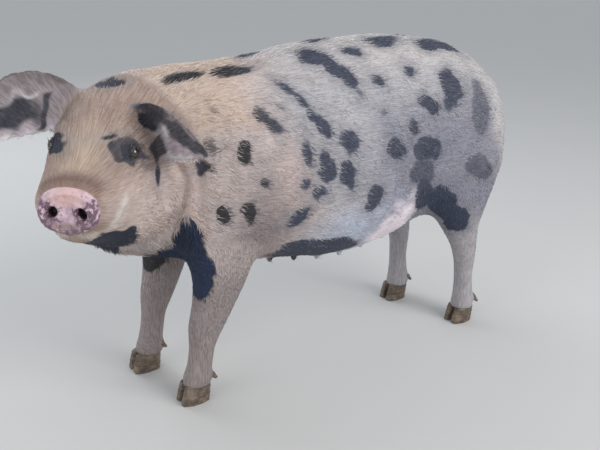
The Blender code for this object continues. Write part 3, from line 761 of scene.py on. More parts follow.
def ear_fields(places, normals, shares):
    """The markings of the ears: the left has a black root and band; the right has painted shade in its hollow, darkest
    along a slit, and a painted highlight along the hollow's upper edge.
    """
    hollow = ease(normals @ AHEAD, -0.10, 0.25)
    names = ("ear_black_and_shade", "ear_pale", "ear_white_and_highlight", "ear_brown")
    fields = {name: np.zeros(len(places)) for name in names}
    for ear in EARS:
        own = share_of(shares, ear)
        along, down = ear_places(places, ear)
        down = down + 0.04 * waves(places, 0.040, 36)
        if ear == "ear_left":
            low = 0.38 + 0.36 * along
            band = ease(down, 0.19, 0.30) * ease(down, low + 0.08, low - 0.04)
            root = ease(along + 0.25 * down, 0.48, 0.36)
            black = np.maximum(np.maximum(0.86 * band * hollow, 0.93 * root), 0.42 * (1 - hollow) * ease(down, 0.7, 0.5))
            white = bell(along - 0.33, 0.05) * bell(down - 0.60, 0.12) * hollow
            brown = np.zeros(len(places))
        else:
            low = 0.70
            # Painted shade fills the right ear's hollow, darkest along the slit of its opening.
            slit = ease(np.abs(along - 0.217 - 0.48 * (down - 0.45)), 0.052, 0.018)
            slit *= ease(down, 0.38, 0.46) * ease(down, 0.96, 0.88)
            hollow_shade = (0.60 + 0.40 * ease(along, 0.34, 0.42)) * ease(along, 0.28, 0.34)
            hollow_shade *= ease(down, 0.34, 0.45) * ease(down, 0.82, 0.68)
            black = np.maximum(hollow * np.maximum(hollow_shade, slit), 0.20 * (1 - hollow))
            # A painted highlight along the upper edge of that hollow.
            white = 0.6 * bell(down - 0.37, 0.035) * bell(along - 0.36, 0.12) * hollow
            brown = ease(down, 0.34, 0.12) * ease(along, 0.60, 0.30) * 0.5 + ease(along, 0.16, 0.05) * ease(down, 0.4, 0.2)
        fields["ear_black_and_shade"] += np.clip(1.6 * own, 0, 1) * np.clip(black, 0, 1)
        fields["ear_pale"] += own * hollow * ease(down, low - 0.02, low + 0.12) * ease(along, 0.20, 0.34)
        fields["ear_white_and_highlight"] += own * np.maximum(white, ease(down, 0.82, 0.93) * ease(along, 0.15, 0.30))
        fields["ear_brown"] += own * np.clip(brown, 0, 1)
    return fields


def markings(places, normals, shares):
    """The fields that colour the skin and the coat, each from 0 to 1."""
    ahead, left, height = to_head(places)
    x, y, z = (places - BODY_START).T
    head = share_of(shares, "head")
    ears = share_of(shares, *EARS)
    legs = share_of(shares, *LEGS)
    nose = share_of(shares, "nose")
    dark, halo = spot_strength(places, shares, normals)
    throat = throat_share(places, head)
    hind = ease(y, 0.24, 0.30) * ease(z, 0.46, 0.42) * ease(z, 0.26, 0.30)
    deep = np.maximum(chest_share(places), 0.5 * np.maximum(hind, throat))
    dark = np.maximum(dark, 1.25 * np.maximum(throat, chest_share(places)))

    wobble = 0.030 * waves(places, 0.16, 31)
    body = 1 - head - ears - nose
    rear = ease(y + wobble + 0.25 * (z - 0.60), -0.170, -0.030) * body
    rump = ease(y + wobble, 0.40, 0.52) * ease(z, 0.40, 0.50)
    grey = rear * ease(z, 0.765, 0.680) * (1 - 0.75 * rump)
    cream = rear * np.maximum(ease(z, 0.660, 0.740), rump)
    # Low on the rear flank: its own blue-grey, deepened with painted shade.
    flank_grey_and_shade = rear * ease(y + wobble, -0.02, 0.18) * ease(z + 0.5 * wobble, 0.710, 0.570)
    flank_grey_and_shade *= np.maximum(ease(y + wobble, 0.530, 0.440), ease(z, 0.50, 0.42)) * ease(z, 0.260, 0.380)
    nape = body * ease(y + wobble, -0.150, -0.230) * ease(z + wobble, 0.600, 0.660)
    # Painted shade low on the shoulder, over the elbow.
    elbow_shade = np.column_stack([np.abs(x), y, z + wobble]) - (0.160, -0.190, 0.430)
    elbow_shade = body * bell(np.linalg.norm(elbow_shade / (0.10, 0.10, 0.11), axis=1), 1.0)
    # The belly's pale bare skin, with a painted bluish reflection of the sky.
    pale = rear * ease(z + wobble, 0.470, 0.360) * ease(y, 0.30, 0.14)
    side_spot = np.column_stack([np.abs(x), y, z]) - (0.175, -0.115, 0.530)
    pink = 0.75 * bell(np.linalg.norm(side_spot / (0.05, 0.045, 0.085), axis=1), 1.0)
    groin = np.column_stack([np.abs(x), y, z + 0.3 * wobble]) - (0.135, 0.185, 0.375)
    groin[:, 2] -= 0.25 * groin[:, 1]
    groin += 0.012 * np.column_stack([waves(places, 0.06, seed) for seed in (37, 38, 39)])
    groin[:, [0, 2]] *= np.where(groin[:, [0, 2]] < 0, 0.45, 1.0)  # it runs on under the belly
    groin = ease(np.linalg.norm(groin / (0.085, 0.070, 0.056), axis=1), 1.25, 0.60)
    shin = legs * ease(z, 0.400, 0.280) * (1 - 0.75 * ease(y, 0.0, 0.1))
    slate = ease(y, -0.220, -0.120) * (1 - head) + 0.45 * head * (1 - throat)
    # A brown band behind the nose disc, darkened further as painted shade over the groove there.
    brown = head * ease(np.abs(left) + wobble * 0.3, 0.062, 0.040) * bell(ahead - 0.223, 0.016) * (1 - nose)
    brown *= ease(height, 0.545, 0.560)
    # The pale lips, and a painted highlight along the swelling of the upper lip.
    lip = np.zeros(len(places))
    for side in (1, -1):
        lip = np.maximum(lip, bell(line_distance(places, mouth_line(side)[:4])[0], 0.009))
        lip = np.maximum(lip, 1.2 * bell(line_distance(places, lip_streak(side))[0], 0.0105))
    lip *= head * (1 - throat)
    lids = np.zeros(len(places))
    for eye in EYES:
        gap, _, _, near = lid_gap(places, eye)
        lids = np.maximum(lids, ease(gap, 0.0050, 0.0020) * near)
    made = {
        "dark": np.clip(dark, 0, 1.1) / 1.1,
        "halo": np.clip(halo * (0.25 + 0.75 * slate), 0, 1),
        "deep": np.clip(deep, 0, 1),
        "face": head,
        "cheek": head * np.maximum(
            ease(np.abs(left) + wobble * 0.3, 0.045, 0.085) * ease(height, 0.600, 0.540),
            ease(height, 0.500, 0.470) * ease(ahead, 0.20, 0.16),
        ),
        "bridge": head * bell(left, 0.032) * ease(ahead, 0.080, 0.140) * ease(ahead, 0.215, 0.190),
        "grey": grey,
        "cream": cream,
        "flank_grey_and_shade": flank_grey_and_shade,
        "nape": nape,
        "elbow_shade": elbow_shade,
        "pale": pale,
        "fringe": head * ease(height, 0.435, 0.390) * ease(ahead, 0.100, 0.070),
        "pink": np.clip(pink, 0, 1),
        "groin": groin * body * (1 - legs * ease(z, 0.34, 0.28)),
        "shin": shin,
        "ear": ears,
        "slate": slate,
        "brown": np.clip(brown, 0, 1),
        "lip": np.clip(lip, 0, 1),
        "lids": lids,
        "snout": snout_share(places, nose),
        "mottle": mottle_share(left, height),
        "snout_top": snout_top(left, height),
        "snout_low": ease((height - NOSE_HEIGHT) / NOSE_HALF_HEIGHT, -0.20, -0.62),
        "nostril": ease(nostril_reach(left, height), 1.15, 0.75) * ease(ahead, NOSE_FRONT - 0.03, NOSE_FRONT - 0.02),
    }
    made.update(ear_fields(places, normals, shares))
    return made


def snout_share(places, nose):
    ahead, left, height = to_head(places)
    around = np.hypot(left / NOSE_HALF_WIDTH, (height - NOSE_HEIGHT) / NOSE_HALF_HEIGHT)
    return ease(ahead, NOSE_FRONT - 0.020, NOSE_FRONT - 0.015) * (around < 1.4)


def mottle_share(left, height):
    """How much of the nose's dark flecks shows: most round the nostrils and rim, none at its top middle."""
    rise = (height - NOSE_HEIGHT) / NOSE_HALF_HEIGHT
    around = np.hypot(left / NOSE_HALF_WIDTH, rise)
    near = bell(nostril_reach(left, height) - 1.1, 1.0)
    rim = ease(around, 0.62, 0.90) * ease(rise, 0.80, 0.40)
    middle = bell(left, 0.013) * ease(rise, -0.9, -0.2)
    return np.clip(0.42 + 0.60 * near + 0.50 * rim - 0.5 * middle - 1.2 * snout_top(left, height), 0, 1)


def snout_top(left, height):
    """The clean pink of the nose's upper middle."""
    rise = (height - NOSE_HEIGHT) / NOSE_HALF_HEIGHT
    return ease(rise + 3 * np.abs(left) ** 1.5, 0.16, 0.50) * bell(left, 0.029)


def store(mesh, name, values):
    layer = mesh.attributes.get(name) or mesh.attributes.new(name, "FLOAT", "POINT")
    layer.data.foreach_set("value", values.astype(np.float32))


# ---- materials


def colour(red, green, blue):
    """A colour given as 0 to 255 on a screen."""
    values = [channel / 255 for channel in (red, green, blue)]
    return (*[v / 12.92 if v <= 0.04045 else ((v + 0.055) / 1.055) ** 2.4 for v in values], 1)


class Nodes:
    """Short ways to add and link the nodes of a material."""

    def __init__(self, name):
        self.material = bpy.data.materials.new(name)
        self.material.use_nodes = True
        self.tree = self.material.node_tree
        self.shader = self.tree.nodes["Principled BSDF"]

    def add(self, kind, **settings):
        node = self.tree.nodes.new("ShaderNode" + kind)
        for key, value in settings.items():
            setattr(node, key, value)
        return node

    def link(self, start, end):
        self.tree.links.new(start, end)

    def put(self, socket, value):
        if isinstance(value, bpy.types.NodeSocket):
            self.link(value, socket)
        else:
            socket.default_value = value

    def field(self, name):
        return self.add("Attribute", attribute_name=name).outputs["Fac"]

    def math(self, operation, first, second=0.0, third=0.0, clamp=False):
        node = self.add("Math", operation=operation, use_clamp=clamp)
        for socket, value in zip(node.inputs, (first, second, third)):
            self.put(socket, value)
        return node.outputs[0]

    def mix(self, factor, first, second, blend="MIX"):
        node = self.add("Mix", data_type="RGBA", blend_type=blend, clamp_factor=True)
        self.put(node.inputs["Factor"], factor)
        self.put(node.inputs[6], first)
        self.put(node.inputs[7], second)
        return node.outputs[2]

    def noise(self, scale, detail=3.0, stretch=None, roughness=0.55):
        node = self.add("TexNoise")
        node.inputs["Scale"].default_value = scale
        node.inputs["Detail"].default_value = detail
        node.inputs["Roughness"].default_value = roughness
        source = self.add("TexCoord").outputs["Object"]
        if stretch is not None:
            source = self.add("Attribute", attribute_name="lie").outputs["Vector"]
            mapping = self.add("Mapping")
            mapping.inputs["Scale"].default_value = stretch
            self.link(source, mapping.inputs["Vector"])
            source = mapping.outputs["Vector"]
        self.link(source, node.inputs["Vector"])
        return node.outputs["Fac"]

    def ramp(self, value, low, high):
        node = self.add("MapRange", interpolation_type="SMOOTHSTEP")
        self.put(node.inputs["Value"], value)
        node.inputs["From Min"].default_value = low
        node.inputs["From Max"].default_value = high
        return node.outputs["Result"]

    def bump(self, height, strength, distance, below=None):
        node = self.add("Bump")
        node.inputs["Strength"].default_value = strength
        node.inputs["Distance"].default_value = distance
        self.link(height, node.inputs["Height"])
        if below is not None:
            self.link(below, node.inputs["Normal"])
        return node.outputs["Normal"]

    def finish(self, base, roughness, normal=None, **constants):
        self.put(self.shader.inputs["Base Color"], base)
        self.put(self.shader.inputs["Roughness"], roughness)
        if normal is not None:
            self.link(normal, self.shader.inputs["Normal"])
        for key, value in constants.items():
            self.shader.inputs[key.replace("_", " ")].default_value = value
        return self.material


# Each layer of the pig's colour over its tan, some of them painted shade or light: its field, its colour and the most
# that it covers.
LAYERS = (
    ("face", (180, 159, 146), 1.0),
    ("cheek", (210, 193, 187), 0.9),
    ("bridge", (206, 186, 168), 0.9),
    ("cream", (204, 201, 201), 0.9),
    ("grey", (186, 186, 191), 0.9),
    ("nape", (214, 194, 179), 0.95),
    # Painted shade low on the shoulder.
    ("elbow_shade", (142, 131, 131), 0.9),
    # The rear flank's blue-grey, deepened with painted shade.
    ("flank_grey_and_shade", (145, 146, 161), 0.95),
    # Pale bare belly, with a painted bluish reflection of the sky.
    ("pale", (198, 205, 221), 0.9),
    ("pink", (202, 184, 181), 0.9),
    ("shin", (159, 149, 147), 1.0),
    ("groin", (252, 240, 248), 1.0),
    ("fringe", (204, 193, 190), 0.9),
    ("ear", (166, 158, 162), 1.0),
    ("ear_pale", (200, 189, 196), 1.0),
    ("ear_brown", (124, 113, 112), 0.9),
    # The left ear's black, and painted shade in the right ear's hollow.
    ("ear_black_and_shade", (64, 66, 78), 1.0),
    # The ears' white edges and inner white, and a painted highlight on the right ear.
    ("ear_white_and_highlight", (240, 234, 236), 1.0),
    # Pale lips, with a painted highlight on the upper lip's swelling.
    ("lip", (224, 215, 208), 0.85),
    # Brown behind the nose disc, with painted shade over its groove.
    ("brown", (140, 112, 100), 0.9),
    ("halo", (132, 134, 144), 0.5),
)


def hide_layers(nodes, lift):
    """The colour of the pig from its fields. lift lightens it, as hair is lighter than the skin under it."""

    def tone(red, green, blue):
        return colour(*(min(255, channel * lift) for channel in (red, green, blue)))

    patchy = nodes.noise(9, 4)
    fine = nodes.noise(55, 3)
    base = nodes.mix(nodes.ramp(patchy, 0.35, 0.70), tone(206, 192, 187), tone(218, 206, 202))
    for name, shade, most in LAYERS:
        factor = nodes.math("MULTIPLY", nodes.field(name), most)
        spread = nodes.math("MULTIPLY_ADD", fine, 0.5, -0.25)
        spread = nodes.math("MULTIPLY", spread, nodes.math("MULTIPLY", factor, 0.9))
        base = nodes.mix(nodes.math("ADD", factor, spread, clamp=True), base, tone(*shade))
    blotch = nodes.ramp(nodes.noise(26, 5, roughness=0.65), 0.42, 0.66)
    base = nodes.mix(nodes.math("MULTIPLY", blotch, 0.36), base, nodes.mix(0.5, base, tone(140, 130, 132)))
    pitch = nodes.mix(nodes.field("slate"), tone(46, 44, 48), tone(67, 73, 92))
    pitch = nodes.mix(nodes.field("deep"), pitch, tone(25, 44, 76))
    edge = nodes.math("MULTIPLY_ADD", fine, 0.24, -0.12)
    strength = nodes.math("ADD", nodes.field("dark"), edge)
    base = nodes.mix(nodes.ramp(strength, 0.12, 0.80), base, pitch)
    return nodes.mix(nodes.field("lids"), base, colour(38, 33, 36))


def skin_material():
    nodes = Nodes("pig_skin")
    base = hide_layers(nodes, 0.92)
    hairs = nodes.noise(1.0, 4, stretch=(28, 420, 420))
    base = nodes.mix(nodes.ramp(hairs, 0.30, 0.75), base, colour(120, 114, 110), "SOFT_LIGHT")
    flesh = nodes.mix(nodes.ramp(nodes.noise(70, 3), 0.36, 0.64), colour(212, 186, 194), colour(180, 152, 165))
    flesh = nodes.mix(nodes.field("snout_low"), flesh, colour(146, 124, 126))
    flesh = nodes.mix(nodes.field("snout_top"), flesh, colour(210, 174, 170))
    speckle = nodes.math("MULTIPLY_ADD", nodes.field("mottle"), 0.22, nodes.noise(125, 4, roughness=0.6))
    disc = nodes.mix(nodes.ramp(speckle, 0.59, 0.76), flesh, colour(104, 78, 94))
    glints = nodes.math("MULTIPLY", nodes.ramp(nodes.noise(150, 3), 0.58, 0.70), nodes.field("mottle"))
    disc = nodes.mix(nodes.math("MULTIPLY", glints, 0.70), disc, colour(216, 200, 208))
    base = nodes.mix(nodes.field("snout"), base, disc)
    # Painted shade deep in the nostrils.
    base = nodes.mix(nodes.field("nostril"), base, colour(40, 24, 30))
    creased = nodes.add("TexVoronoi", feature="DISTANCE_TO_EDGE")
    creased.inputs["Scale"].default_value = 240
    nodes.link(nodes.add("TexCoord").outputs["Object"], creased.inputs["Vector"])
    grain = nodes.bump(nodes.ramp(creased.outputs["Distance"], 0.0, 0.12), 0.25, 0.0006)
    normal = nodes.bump(hairs, 0.55, 0.0016, grain)
    roughness = nodes.math("MULTIPLY_ADD", nodes.field("snout"), -0.30, 0.80)
    return nodes.finish(base, roughness, normal)


def coat_material():
    nodes = Nodes("pig_coat")
    base = hide_layers(nodes, 1.04)
    shade = nodes.field("shade")
    along = nodes.field("along")
    dim = nodes.math("MULTIPLY_ADD", shade, 0.55, 0.20)
    dim = nodes.math("MULTIPLY_ADD", along, 0.25, dim)
    shadow = nodes.mix(0.42, base, colour(72, 68, 66))
    base = nodes.mix(nodes.ramp(dim, 0.85, 0.20), base, shadow)
    # Painted highlight: a random share of the tufts lightened towards near white, less on the deep dark.
    most = nodes.math("MULTIPLY_ADD", nodes.field("deep"), -0.30, 0.38)
    tuft_highlight = nodes.math("MULTIPLY", nodes.ramp(shade, 0.55, 1.0), most)
    base = nodes.mix(tuft_highlight, base, nodes.mix(0.42, base, colour(240, 238, 236)))
    roughness = nodes.math("MULTIPLY_ADD", nodes.noise(300, 2), 0.15, 0.55)
    return nodes.finish(base, roughness)


def horn_material():
    nodes = Nodes("pig_horn")
    rings = nodes.noise(1.0, 3, stretch=(14, 14, 480))
    streaks = nodes.noise(60, 4)
    base = nodes.mix(nodes.ramp(streaks, 0.35, 0.70), colour(84, 72, 62), colour(128, 112, 96))
    base = nodes.mix(nodes.ramp(rings, 0.45, 0.70), base, colour(62, 54, 48))
    normal = nodes.bump(rings, 0.6, 0.0012)
    roughness = nodes.math("MULTIPLY_ADD", streaks, 0.25, 0.42)
    return nodes.finish(base, roughness, normal)


def eye_material():
    nodes = Nodes("pig_eye")
    off_axis = nodes.field("off_axis")
    iris = nodes.mix(nodes.noise(900, 4), colour(58, 38, 26), colour(24, 16, 12))
    base = nodes.mix(nodes.ramp(off_axis, 0.36, 0.40), colour(5, 4, 4), iris)
    base = nodes.mix(nodes.ramp(off_axis, 0.80, 0.95), base, colour(44, 32, 30))
    return nodes.finish(base, 0.06, Coat_Weight=1.0, Coat_Roughness=0.03)


def floor_material():
    nodes = Nodes("studio_floor")
    base = nodes.mix(nodes.noise(3, 3), colour(190, 190, 188), colour(194, 193, 191))
    return nodes.finish(base, 0.9)


# ---- the coat


def lie_of_coat(places, normals, shares):
    """The way the hair lies at each place, along the skin."""
    ahead, left, height = to_head(places)
    x, z = places[:, 0], places[:, 2]
    ways = np.zeros((len(places), 3))
    outward = np.sign(x)[:, None] * np.array((1.0, 0, 0))
    side = ease(np.abs(x), 0.03, 0.15)[:, None]
    body = BACK - UP * 0.50 * side - outward * 0.20 * ease(z, 0.40, 0.32)[:, None]
    ways += share_of(shares, "trunk")[:, None] * body
    ways += share_of(shares, "neck")[:, None] * (BACK * 0.8 - AHEAD * 0.45 - UP * 0.55 * side)
    cheek = ease(ahead, 0.19, 0.06) * ease(height, 0.66, 0.54)
    face = -AHEAD - UP * (0.95 * cheek)[:, None] + LEFT * (np.sign(left) * 0.30 * ease(np.abs(left), 0.01, 0.06))[:, None]
    ways += share_of(shares, "head", "nose")[:, None] * face
    for ear in EARS:
        root, tip = ear_ends(ear)
        ways += share_of(shares, ear)[:, None] * unit(tip - root)
    ways += share_of(shares, *LEGS)[:, None] * (BACK * 0.25 - UP)
    ways += share_of(shares, "tail")[:, None] * -UP
    across = np.cross(normals, ways)
    ways += across * (0.16 * waves(places, 0.09, 41) + 0.12 * waves(places, 0.03, 42))[:, None]
    ways -= normals * (ways * normals).sum(axis=1)[:, None]
    return unit(ways)


def streak_place(places, shares):
    """Coordinates for streaks: along the lie of the hair first, then across it."""
    ahead, left, height = to_head(places)
    x, y, z = places.T
    round_body = np.arctan2(x, z - 0.53) * 0.20
    round_head = np.arctan2(left, height - 0.55) * 0.10
    turned = share_of(shares, "head", "nose", *EARS)[:, None]
    legs = share_of(shares, *LEGS)[:, None]
    body = np.column_stack([y, round_body, z * 0.05])
    head = np.column_stack([ahead, round_head, left * 0.2])
    leg = np.column_stack([z, x, y])
    return body * (1 - turned - legs) + head * turned + leg * legs


def hair_facts(places, normals, shares, fields):
    """Tufts per square metre, their length, and how steeply they rise, for each place on the skin."""
    ahead, left, height = to_head(places)
    z = places[:, 2]
    head, neck, trunk = (share_of(shares, node) for node in ("head", "neck", "trunk"))
    ears, legs, tail = share_of(shares, *EARS), share_of(shares, *LEGS), share_of(shares, "tail")
    muzzle = ease(ahead, 0.10, 0.20)
    jowl = ease(height, 0.54, 0.44) * ease(ahead, 0.17, 0.06)
    chin = ease(height, 0.500, 0.475) * ease(ahead, 0.16, 0.20)
    ridge = ease(normals[:, 2], 0.75, 0.95) * ease(np.abs(places[:, 0]), 0.06, 0.02)
    low_leg = ease(z, 0.24, 0.12)
    length = head * (0.0110 - 0.0050 * muzzle + 0.0090 * jowl + 0.0050 * chin)
    length += neck * 0.017 + trunk * (0.0165 + 0.007 * ridge)
    length += ears * (0.0085 + 0.006 * fields["ear_white_and_highlight"]) + legs * (0.0145 - 0.007 * low_leg) + tail * 0.020
    density = head * (98000 + 50000 * muzzle) + neck * 56000 + trunk * 46000
    density += ears * 70000 + legs * (56000 + 26000 * low_leg) + tail * 60000
    belly = ease(normals[:, 2], -0.45, -0.80) * trunk
    density *= (1 - 0.5 * belly) * (1 - 0.94 * fields["snout"]) * (1 - 0.6 * fields["groin"])
    for eye in EYES:
        gap, _, _, near = lid_gap(places, eye)
        density *= 1 - near * ease(gap, 0.0045, 0.0025)
    density[near_teats(places)] *= 0.3
    density[z < 0.044] = 0
    lift = 0.09 + 0.02 * neck + 0.07 * jowl * head + 0.04 * ridge - 0.03 * muzzle
    return density, length, lift


def triangles_of(mesh):
    mesh.calc_loop_triangles()
    corners = np.empty(len(mesh.loop_triangles) * 3, np.int32)
    mesh.loop_triangles.foreach_get("vertices", corners)
    return corners.reshape(-1, 3)


def sample(places, corners, density, random):
    """Evenly scattered roots: for each, its triangle and where it lies in it."""
    a, b, c = (places[corners[:, k]] for k in range(3))
    area = np.linalg.norm(np.cross(b - a, c - a), axis=1) / 2
    total = np.cumsum(area * density[corners].mean(axis=1))
    count = int(total[-1])
    picks = (np.arange(count) + random.random(count)) / count * total[-1]
    chosen = np.searchsorted(total, picks)
    first, second = random.random(count), random.random(count)
    over = first + second > 1
    first[over], second[over] = 1 - first[over], 1 - second[over]
    return corners[np.minimum(chosen, len(corners) - 1)], np.column_stack([1 - first - second, first, second])


def blade_faces(rings):
    """Corner numbers of a closed three-sided blade that ends in a point."""
    faces = [(0, 1, 2)]
    for ring in range(rings - 1):
        a, b = 3 * ring, 3 * ring + 3
        faces += [(a, b, b + 1, a + 1), (a + 1, b + 1, b + 2, a + 2), (a + 2, b + 2, b, a)]
    a, tip = 3 * rings - 3, 3 * rings
    return faces + [(a, tip, a + 1), (a + 1, tip, a + 2), (a + 2, tip, a)]


PATCH = 0.003  # across a tuft's patch on the map


def blade_patch(rings):
    """Where each corner of a blade lies in its patch of the map."""
    spots = []
    for ring in range(rings):
        rise, half = 0.8 * ring / rings, 0.5 - 0.1 * ring
        spots += [(0.5 - half, rise), (0.5 + half, rise), (0.5, rise + 0.12)]
    return (np.array(spots + [(0.5, 1.0)]) - 0.5) * PATCH


def coat_piece(name, tufts, material, rings):
    """One mesh of closed tapered tufts. tufts holds arrays with a row for each."""
    root, up, way = tufts["root"], tufts["up"], tufts["way"]
    across = np.cross(way, up)
    length, width, lift, sway = (tufts[key][:, None] for key in ("length", "width", "lift", "sway"))
    count = len(root)
    corners = []
    for ring in range(rings + 1):
        s = ring / rings
        rise = lift * length * s * (1.9 - s) - 0.0012
        middle = root + way * length * s + up * rise + across * (sway * length * s**2)
        if ring == rings:
            corners.append(middle)
            break
        half = width / 2 * (1 - 0.45 * s**1.5)
        corners += [middle - across * half, middle + across * half, middle + up * (half * 0.75)]
    per_tuft = len(corners)
    places = np.stack(corners, axis=1).reshape(-1, 3)
    faces = blade_faces(rings)
    loops = np.concatenate([np.array(face) for face in faces])
    sizes = np.array([len(face) for face in faces])
    starts = np.concatenate([[0], np.cumsum(sizes)[:-1]])
    base = np.arange(count)[:, None]
    mesh = bpy.data.meshes.new(name)
    mesh.vertices.add(len(places))
    mesh.vertices.foreach_set("co", places.astype(np.float32).ravel())
    mesh.loops.add(count * len(loops))
    mesh.loops.foreach_set("vertex_index", (loops + base * per_tuft).astype(np.int32).ravel())
    mesh.polygons.add(count * len(faces))
    mesh.polygons.foreach_set("loop_start", (starts + base * len(loops)).astype(np.int32).ravel())
    mesh.update(calc_edges=True)
    mesh.shade_smooth()
    patch = mesh.uv_layers.new(name="OFBake")
    spots = (tufts["map"][:, None, :] + blade_patch(rings)[loops]).astype(np.float32)
    patch.data.foreach_set("uv", spots.ravel())
    for field, values in tufts["fields"].items():
        store(mesh, field, np.repeat(values, per_tuft))
    along = np.concatenate([np.repeat(np.arange(rings) / rings, 3), [1.0]])
    store(mesh, "along", np.tile(along, count))
    mesh.materials.append(material)
    made = bpy.data.objects.new(name, mesh)
    bpy.context.scene.collection.objects.link(made)
    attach(made, "root")
    return made


def round_map(across, upward, along):
    """A place on a tube opened out flat, as a share of the map each way."""
    turn = np.arctan2(across, upward) / (2 * math.pi) + 0.5
    low, high = along.min(), along.max()
    return np.column_stack([turn, (along - low) / (high - low)]) * (1 - 4 * PATCH) + 2 * PATCH


def pieces_of_coat(roots, shares):
    """A name for each root's piece."""
    ahead, left, height = to_head(roots)
    x, y, z = roots.T
    owner = np.array(FLESH)[shares.argmax(axis=1)]
    side = np.where(x > 0, "left", "right")
    face_side = np.where(left > 0, "left", "right")
    names = np.array([str(name) for name in owner], dtype="<U32")
    quarter = np.clip(((y - y.min()) / (y.max() - y.min()) * 8).astype(int), 0, 7)
    for k in range(len(names)):
        if owner[k] == "trunk":
            names[k] = f"trunk_{side[k]}_{quarter[k]}"
        elif owner[k] in ("head", "nose"):
            names[k] = f"head_{face_side[k]}"
        elif owner[k] == "neck":
            names[k] = f"neck_{side[k]}"
    return names


def map_places(name, roots, normals):
    """Places on the unwrap of that part of the skin."""
    ahead, left, height = to_head(roots)
    x, y, z = roots.T
    if name.startswith("head"):
        return round_map(left, height - 0.55, ahead)
    if name.startswith("leg"):
        low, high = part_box(name)
        return round_map(x - (low.x + high.x) / 2, y - (low.y + high.y) / 2, z)
    if name.startswith("tail"):
        low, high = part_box("tail")
        return round_map(x - (low.x + high.x) / 2, y - high.y + 0.02, z)
    if name.startswith("ear"):
        half = np.where(normals @ AHEAD > 0, 0.0, 0.5)
        out = np.abs(left)
        flat = np.column_stack([(out - out.min()) / np.ptp(out), (height - height.min()) / np.ptp(height)])
        return np.column_stack([flat[:, 0], half + 0.48 * flat[:, 1]]) * (1 - 4 * PATCH) + 2 * PATCH
    return round_map(x, 0.53 - z, y)


def grow_coat(skin, shares, fields, material):
    mesh = skin.data
    places, normals = read_points(mesh), read_normals(mesh)
    density, length, lift = hair_facts(places, normals, shares, fields)
    lie = lie_of_coat(places, normals, shares)
    random = np.random.default_rng(7)
    corners, weights = sample(places, triangles_of(mesh), density, random)

    def at_roots(values):
        if values.ndim == 1:
            return (values[corners] * weights).sum(axis=1)
        return (values[corners] * weights[:, :, None]).sum(axis=1)

    roots, up, root_shares = at_roots(places), unit(at_roots(normals)), at_roots(shares)
    way = at_roots(lie)
    way = unit(way - up * (way * up).sum(axis=1)[:, None])
    count = len(roots)
    turn = random.normal(0, 0.16, count)[:, None]
    way = unit(way * np.cos(turn) + np.cross(up, way) * np.sin(turn))
    size = at_roots(length) * random.uniform(0.65, 1.30, count)
    names = pieces_of_coat(roots, root_shares)
    tufts = {
        "root": roots,
        "up": up,
        "way": way,
        "length": size,
        "width": (0.0008 + 0.040 * size) * random.uniform(0.70, 1.25, count),
        "lift": at_roots(lift) * random.uniform(0.35, 1.6, count),
        "sway": random.normal(0, 0.12, count),
    }
    root_fields = {name: at_roots(values) for name, values in fields.items()}
    root_fields["shade"] = np.clip(random.normal(0.5, 0.24, count) + 0.16 * waves(roots, 0.012, 51), 0, 1)
    made = []
    for name in sorted(set(names)):
        chosen = np.flatnonzero(names == name)
        if len(chosen) < 50:
            continue
        piece = {key: values[chosen] for key, values in tufts.items()}
        piece["fields"] = {key: values[chosen] for key, values in root_fields.items()}
        piece["map"] = map_places(name, piece["root"], piece["up"])
        rings = 3 if name.startswith(("neck", "trunk")) else 2
        made.append(coat_piece("coat_" + name, piece, material, rings))
    return made


def lashes(material, fields):
    """Dark lashes along both lids of each eye, longest on the upper."""
    for eye in EYES:
        middle, radius = node_middle(eye), eye_radius(eye) + LID
        look, across, upward = gaze(eye)
        random = np.random.default_rng(11)
        count = 44
        u = random.uniform(-0.93, 0.93, count) * EYE_OPENING
        upper = random.random(count) < 0.72
        span = 1 - (u / EYE_OPENING) ** 2
        w = np.where(upper, UPPER_LID * span + 0.0006, -LOWER_LID * span - 0.0006)
        out = np.sqrt(np.maximum(radius**2 - u**2 - w**2, 0))
        up = unit(np.outer(u, across) + np.outer(w, upward) + np.outer(out, look))
        lean = np.where(upper, 0.9, -0.8)
        way = unit(0.55 * look + np.outer(u / EYE_OPENING * 0.5, across) + np.outer(lean, upward))
        way = unit(way - up * (way * up).sum(axis=1)[:, None] * 0.6)
        size = np.where(upper, 0.0095, 0.0055) * random.uniform(0.6, 1.1, count)
        tufts = {
            "root": middle + up * radius,
            "up": unit(up - way * (way * up).sum(axis=1)[:, None]),
            "way": way,
            "length": size,
            "width": np.full(count, 0.0005),
            "lift": np.full(count, 0.15),
            "sway": random.normal(0, 0.12, count),
            "fields": {name: np.zeros(count) for name in fields},
            "map": np.column_stack([u / EYE_OPENING, w / EYE_OPENING]) * 0.45 + 0.5,
        }
        tufts["fields"]["shade"] = random.uniform(0.0, 0.4, count)
        tufts["fields"]["dark"] = random.uniform(0.35, 0.9, count)
        coat_piece("lashes_" + eye.split("_")[1], tufts, material, 2)


# ---- eyes and horn


def make_eye(node, material):
    """A glossy eyeball with a low cornea that looks along its gaze."""
    middle, radius = node_middle(node), eye_radius(node)
    look = gaze(node)[0]
    shape = bmesh.new()
    bmesh.ops.create_uvsphere(shape, u_segments=48, v_segments=32, radius=radius)
    turn = Vector(look).to_track_quat("Z", "Y").to_matrix().to_4x4()
    off_axis = []
    for vertex in shape.verts:
        off = math.acos(max(-1.0, min(1.0, vertex.co.z / radius)))
        off_axis.append(off)
        vertex.co *= 1 + 0.035 * math.exp(-((off / 0.5) ** 2))
    bmesh.ops.transform(shape, matrix=Matrix.Translation(Vector(middle)) @ turn, verts=shape.verts)
    mesh = bpy.data.meshes.new(node + "_ball")
    shape.to_mesh(mesh)
    shape.free()
    store(mesh, "off_axis", np.array(off_axis))
    mesh.shade_smooth()
    mesh.materials.append(material)
    made = bpy.data.objects.new(node + "_ball", mesh)
    bpy.context.scene.collection.objects.link(made)
    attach(made, "root")
    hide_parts(node)
    return made


